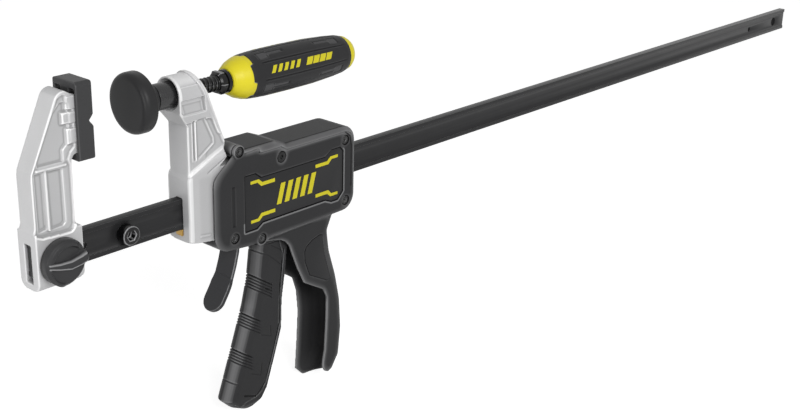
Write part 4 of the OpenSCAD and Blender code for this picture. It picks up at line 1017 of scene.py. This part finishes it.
def grip_surface(x, t):
    deg = math.degrees(t) % 360
    r = grip_radius(x)
    # the grip's front edge steps back between the printed bands
    front = 117.0 + 3.2 * float(smooth(23, 28, abs(turn(deg, BANDS[0], BAND_STEP))))
    edge = float(smooth(front - 0.05, front + 1.3, x))
    r = r - 1.1 + 1.1 * edge if x > front - 0.6 else r - 2.2
    # long grooves between the bands
    groove = math.exp(-(turn(deg, GROOVE_AT, BAND_STEP / 2) / 1.9) ** 2)
    r -= 0.55 * groove * float(smooth(125, 129, x) * smooth(204, 199, x))
    # stepped pockets near both ends: a wide head, then a narrow part that lies to one side
    a = turn(deg, POCKET_AT, BAND_STEP)
    for lo, hi, head in GRIP_POCKETS:
        u = x - lo if head > 0 else hi - x
        half, shift = (11, 0) if u < 8 else (4, 3)
        r -= 0.45 * float(smooth(half + 1.2, half - 0.6, abs(a - shift)) * smooth(-0.8, 0.4, u)
                          * smooth(hi - lo + 0.8, hi - lo - 0.4, u))
    return r


def handle():
    core = lathe("handle_yellow_core", rounded_profile(
        [(HANDLE_X, 0), (HANDLE_X, 8.0), (107.6, 9.2), (112, 11.9), (117, 13.6),
         (FERRULE_END, 13.9), (123, 12.8), (123, 0)], [0.6, 0.8, 3, 3, 1, 0.3]), 128)
    finish(core, YELLOW, "spindle", "yellow_plastic", "handle_core")

    xs = (list(np.arange(115.8, 122, 0.25)) + list(np.arange(122, GRIP_END - 0.1, 0.5))
          + [GRIP_END - 0.1, GRIP_END])
    grip = crease(tube("handle_soft_grip", grip_surface, xs, 240), 60)
    # painted highlights on the grip's proud edges and painted shade in its grooves
    paint_light(grip)
    finish(grip, RUBBER, "spindle", "soft_grip", "handle_grip")

    cap = lathe("handle_end_cap", rounded_profile(
        [(206.3, 0), (206.3, 11.8), (210, 11.4), (213.2, 9.4), (CAP_END, 6.0), (CAP_END, 0)],
        [0.4, 2, 3, 2]))
    finish(cap, YELLOW, "spindle", "yellow_plastic", "handle_cap")

    floors = [(band + POCKET_AT - BANDS[0], *floor) for band in BANDS for floor in FLOORS]
    for n, (middle, x0, x1, a0, a1) in enumerate(floors):
        ob = handle_sheet("handle_recess_%02d" % n, x0, x1, middle + a0, middle + a1, 0, -0.4)
        finish(ob, PATCH, "spindle", "soft_grip")

    # a generic print stands in for lettering: slanted bars and a long block
    bars = [(band, *bar) for band in BANDS for bar in PRINT_BARS]
    for n, (band, x0, x1) in enumerate(bars):
        ob = handle_sheet("handle_print_%02d" % n, x0, x1, band - PRINT_HALF, band + PRINT_HALF,
                          PRINT_LEAN, 0.06)
        finish(ob, PRINT, "spindle", "yellow_plastic")


# ---- Pieces kept as their solids, lever, springs and fixed pad --------------

# node, material, width of its rounded edges, and their material: a painted highlight or painted
# shade
PLAIN = [
    ("bar", BAR, 0.35, HIGHLIGHT_BLACK),
    ("stop_screw", BLACK_STEEL, 0.6, HIGHLIGHT_STEEL),
    ("stop_nut", BLACK_STEEL, 0.4, None),
    ("lock_pin", STEEL, 0.3, None),
    ("bar_shoe", BRASS, 0.4, None),
    ("spindle_nut", BRASS, 0, None),
    ("near_badge", PANEL, 0.3, SHADE_GAP),
    ("far_badge", PANEL, 0.3, SHADE_GAP),
    ("near_strokes", PRINT, 0, None),
    ("far_strokes", PRINT, 0, None),
    ("cover_screws", BLACK_STEEL, 0.25, HIGHLIGHT_BLACK),
    ("near_inlay", RUBBER, 0.4, SHADE_GAP),
    ("far_inlay", RUBBER, 0.4, SHADE_GAP),
    ("rear_bush", TRIM, 0.4, None),
    ("trigger_pin", BLACK_STEEL, 0.3, None),
    ("spindle_sleeve", SLEEVE, 0.3, None)]
PLAIN_STEEL = ("lock_clip", "jaw_bolts", "trigger_roller", "drive_plate_front", "drive_plate_rear",
               "spring_seat", "release_pin", "thrust_ball", "swivel_ring")


def plain_nodes():
    for node, material, bevel, edge in PLAIN:
        dress(node, material, bevel, edge)
    for node in PLAIN_STEEL:
        dress(node, STEEL)


def lever():
    ob = remeshed("release_lever_strip", "release_lever", 0.4)
    relax(ob, 5)
    # painted highlights on the proud edges and painted shade in the creases
    paint_light(ob, 8)
    finish(ob, LEVER, "brake", "black_steel", "release_lever")

    ob = remeshed("release_lever_coat", "lever_coat", 0.3)
    # the coating thins out towards its upper end
    z = points(ob)[:, 2]
    relax(ob, 80, smooth(z.max() - 6, z.max() - 1, z))
    relax(ob, 6)
    # painted highlights on the proud edges and painted shade in the creases
    paint_light(ob)
    finish(ob, LEVER, "brake", "soft_grip", "lever_coat")


def spring(node):
    """The node's coil as a steel mesh of its own, with the node hidden."""
    name = node + "_coil"
    ob = crease(baked(cad_copy(name, node), name), 50)
    ob.data.materials.append(STEEL)
    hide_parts(node)
    co = points(ob) * MM
    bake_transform(ob)


PAD_HALF_W, PAD_HALF_H, PAD_ROUND = 11.0, 23.0, 2.6


def fixed_pad():
    ob = remeshed("fixed_pad_moulding", "fixed_pad", 0.4)
    relax(ob, 3)
    # the corners seen along the bar are round
    co = points(ob)
    y, z, r = co[:, 1], co[:, 2], PAD_ROUND
    q, t = np.abs(y) - (PAD_HALF_W - r), np.abs(z) - (PAD_HALF_H - r)
    far = np.hypot(q, t)
    over = (q > 0) & (t > 0) & (far > r)
    scale = np.where(over, r / np.maximum(far, NEAR_ZERO), 1)
    co[:, 1] = np.where(over, np.sign(y) * (PAD_HALF_W - r + q * scale), y)
    co[:, 2] = np.where(over, np.sign(z) * (PAD_HALF_H - r + t * scale), z)
    set_points(ob, co)
    # painted highlights on the proud edges and painted shade in the creases
    paint_light(ob)
    finish(ob, PAD, "bar", "pad_rubber", "fixed_pad")


# ---- Stage -----------------------------------------------------------------

# the camera fitted to the photograph: place in metres, angles in degrees, lens in millimetres
CAMERA_AT = (-0.414946, -0.603240, 0.221038)
AZIMUTH, DOWN, ROLL = 48.785, 20.947, 1.528
LENS, SENSOR, NEAREST = 59.32, 36, 0.01
# lamps: name, place, target, size, and power in watts
LAMPS = [("key", (-0.35, -1.4, 0.75), (0.1, 0, -0.08), (0.9, 0.7), 16.5),
         ("left", (-1.6, -0.15, 0.1), (0.0, 0, -0.05), (0.5, 0.5), 9)]
WORLD_LIGHT = 0.25
FLOOR_REACH, FLOOR_BELOW = 6000, 0.2
FLOOR_GREY, FLOOR_GLOW = 0.7, 0.78


def camera():
    az, el, roll = (math.radians(v) for v in (AZIMUTH, DOWN, ROLL))
    look = Vector((math.sin(az) * math.cos(el), math.cos(az) * math.cos(el), -math.sin(el)))
    right = look.cross(Vector((0, 0, 1))).normalized()
    up = right.cross(look)
    x = math.cos(roll) * right + math.sin(roll) * up
    y = math.cos(roll) * up - math.sin(roll) * right
    data = bpy.data.cameras.new("camera")
    data.sensor_width = SENSOR
    data.lens = LENS
    data.clip_start = NEAREST
    cam = bpy.data.objects.new("camera", data)
    rows = [[x[i], y[i], -look[i], CAMERA_AT[i]] for i in range(3)]
    cam.matrix_world = Matrix(rows + [[0, 0, 0, 1]])
    bpy.context.scene.collection.objects.link(cam)
    bpy.context.scene.camera = cam


def lamp(name, at, target, size, power):
    data = bpy.data.lights.new(name, "AREA")
    data.shape = "RECTANGLE"
    data.size, data.size_y = size
    data.energy = power
    ob = bpy.data.objects.new(name, data)
    ob.location = at
    ob.rotation_euler = (Vector(target) - Vector(at)).to_track_quat("-Z", "Y").to_euler()
    bpy.context.scene.collection.objects.link(ob)


def see_white(nt, shade, white, out):
    """Camera, glossy and transmission rays see the white shader, all others the plain one."""
    rays = nt.nodes.new("ShaderNodeLightPath").outputs
    seen = rays["Is Camera Ray"]
    for kind in ("Is Glossy Ray", "Is Transmission Ray"):
        either = nt.nodes.new("ShaderNodeMath")
        either.operation = "MAXIMUM"
        nt.links.new(seen, either.inputs[0])
        nt.links.new(rays[kind], either.inputs[1])
        seen = either.outputs[0]
    mix = nt.nodes.new("ShaderNodeMixShader")
    nt.links.new(seen, mix.inputs[0])
    nt.links.new(shade, mix.inputs[1])
    nt.links.new(white, mix.inputs[2])
    nt.links.new(mix.outputs[0], out)


def world():
    w = bpy.data.worlds.new("studio")
    bpy.context.scene.world = w
    w.use_nodes = True
    nt = w.node_tree
    nt.nodes.clear()
    out = nt.nodes.new("ShaderNodeOutputWorld")
    plain, white = (nt.nodes.new("ShaderNodeBackground") for _ in range(2))
    for node, strength in ((plain, WORLD_LIGHT), (white, 1.0)):
        node.inputs["Color"].default_value = (1, 1, 1, 1)
        node.inputs["Strength"].default_value = strength
    see_white(nt, plain.outputs[0], white.outputs[0], out.inputs["Surface"])


def floor():
    z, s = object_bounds()[0][2] / MM - FLOOR_BELOW, FLOOR_REACH
    corners = [(-s, -s, z), (s, -s, z), (s, s, z), (-s, s, z)]
    ob = new_object("floor", corners, [(0, 1, 2, 3)], smooth=False)
    m = bpy.data.materials.new("floor")
    m.use_nodes = True
    nt = m.node_tree
    nt.nodes.clear()
    out = nt.nodes.new("ShaderNodeOutputMaterial")
    matt = nt.nodes.new("ShaderNodeBsdfDiffuse")
    matt.inputs["Color"].default_value = (FLOOR_GREY, FLOOR_GREY, FLOOR_GREY, 1)
    glow = nt.nodes.new("ShaderNodeEmission")
    glow.inputs["Strength"].default_value = FLOOR_GLOW
    add = nt.nodes.new("ShaderNodeAddShader")
    nt.links.new(matt.outputs[0], add.inputs[0])
    nt.links.new(glow.outputs[0], add.inputs[1])
    see_white(nt, matt.outputs[0], add.outputs[0], out.inputs["Surface"])
    ob.data.materials.append(m)
    ob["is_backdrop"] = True


def stage():
    camera()
    world()
    floor()
    for values in LAMPS:
        lamp(*values)
    bpy.context.scene.view_settings.view_transform = "Standard"


fixed_jaw()
moving_jaw()
fixed_pad()
side_cover()
housing_shell()
trigger()
lever()
spring("drive_spring")
spring("brake_spring")
knob()
swivel_pad()
spindle()
hex_collar()
handle()
plain_nodes()
stage()
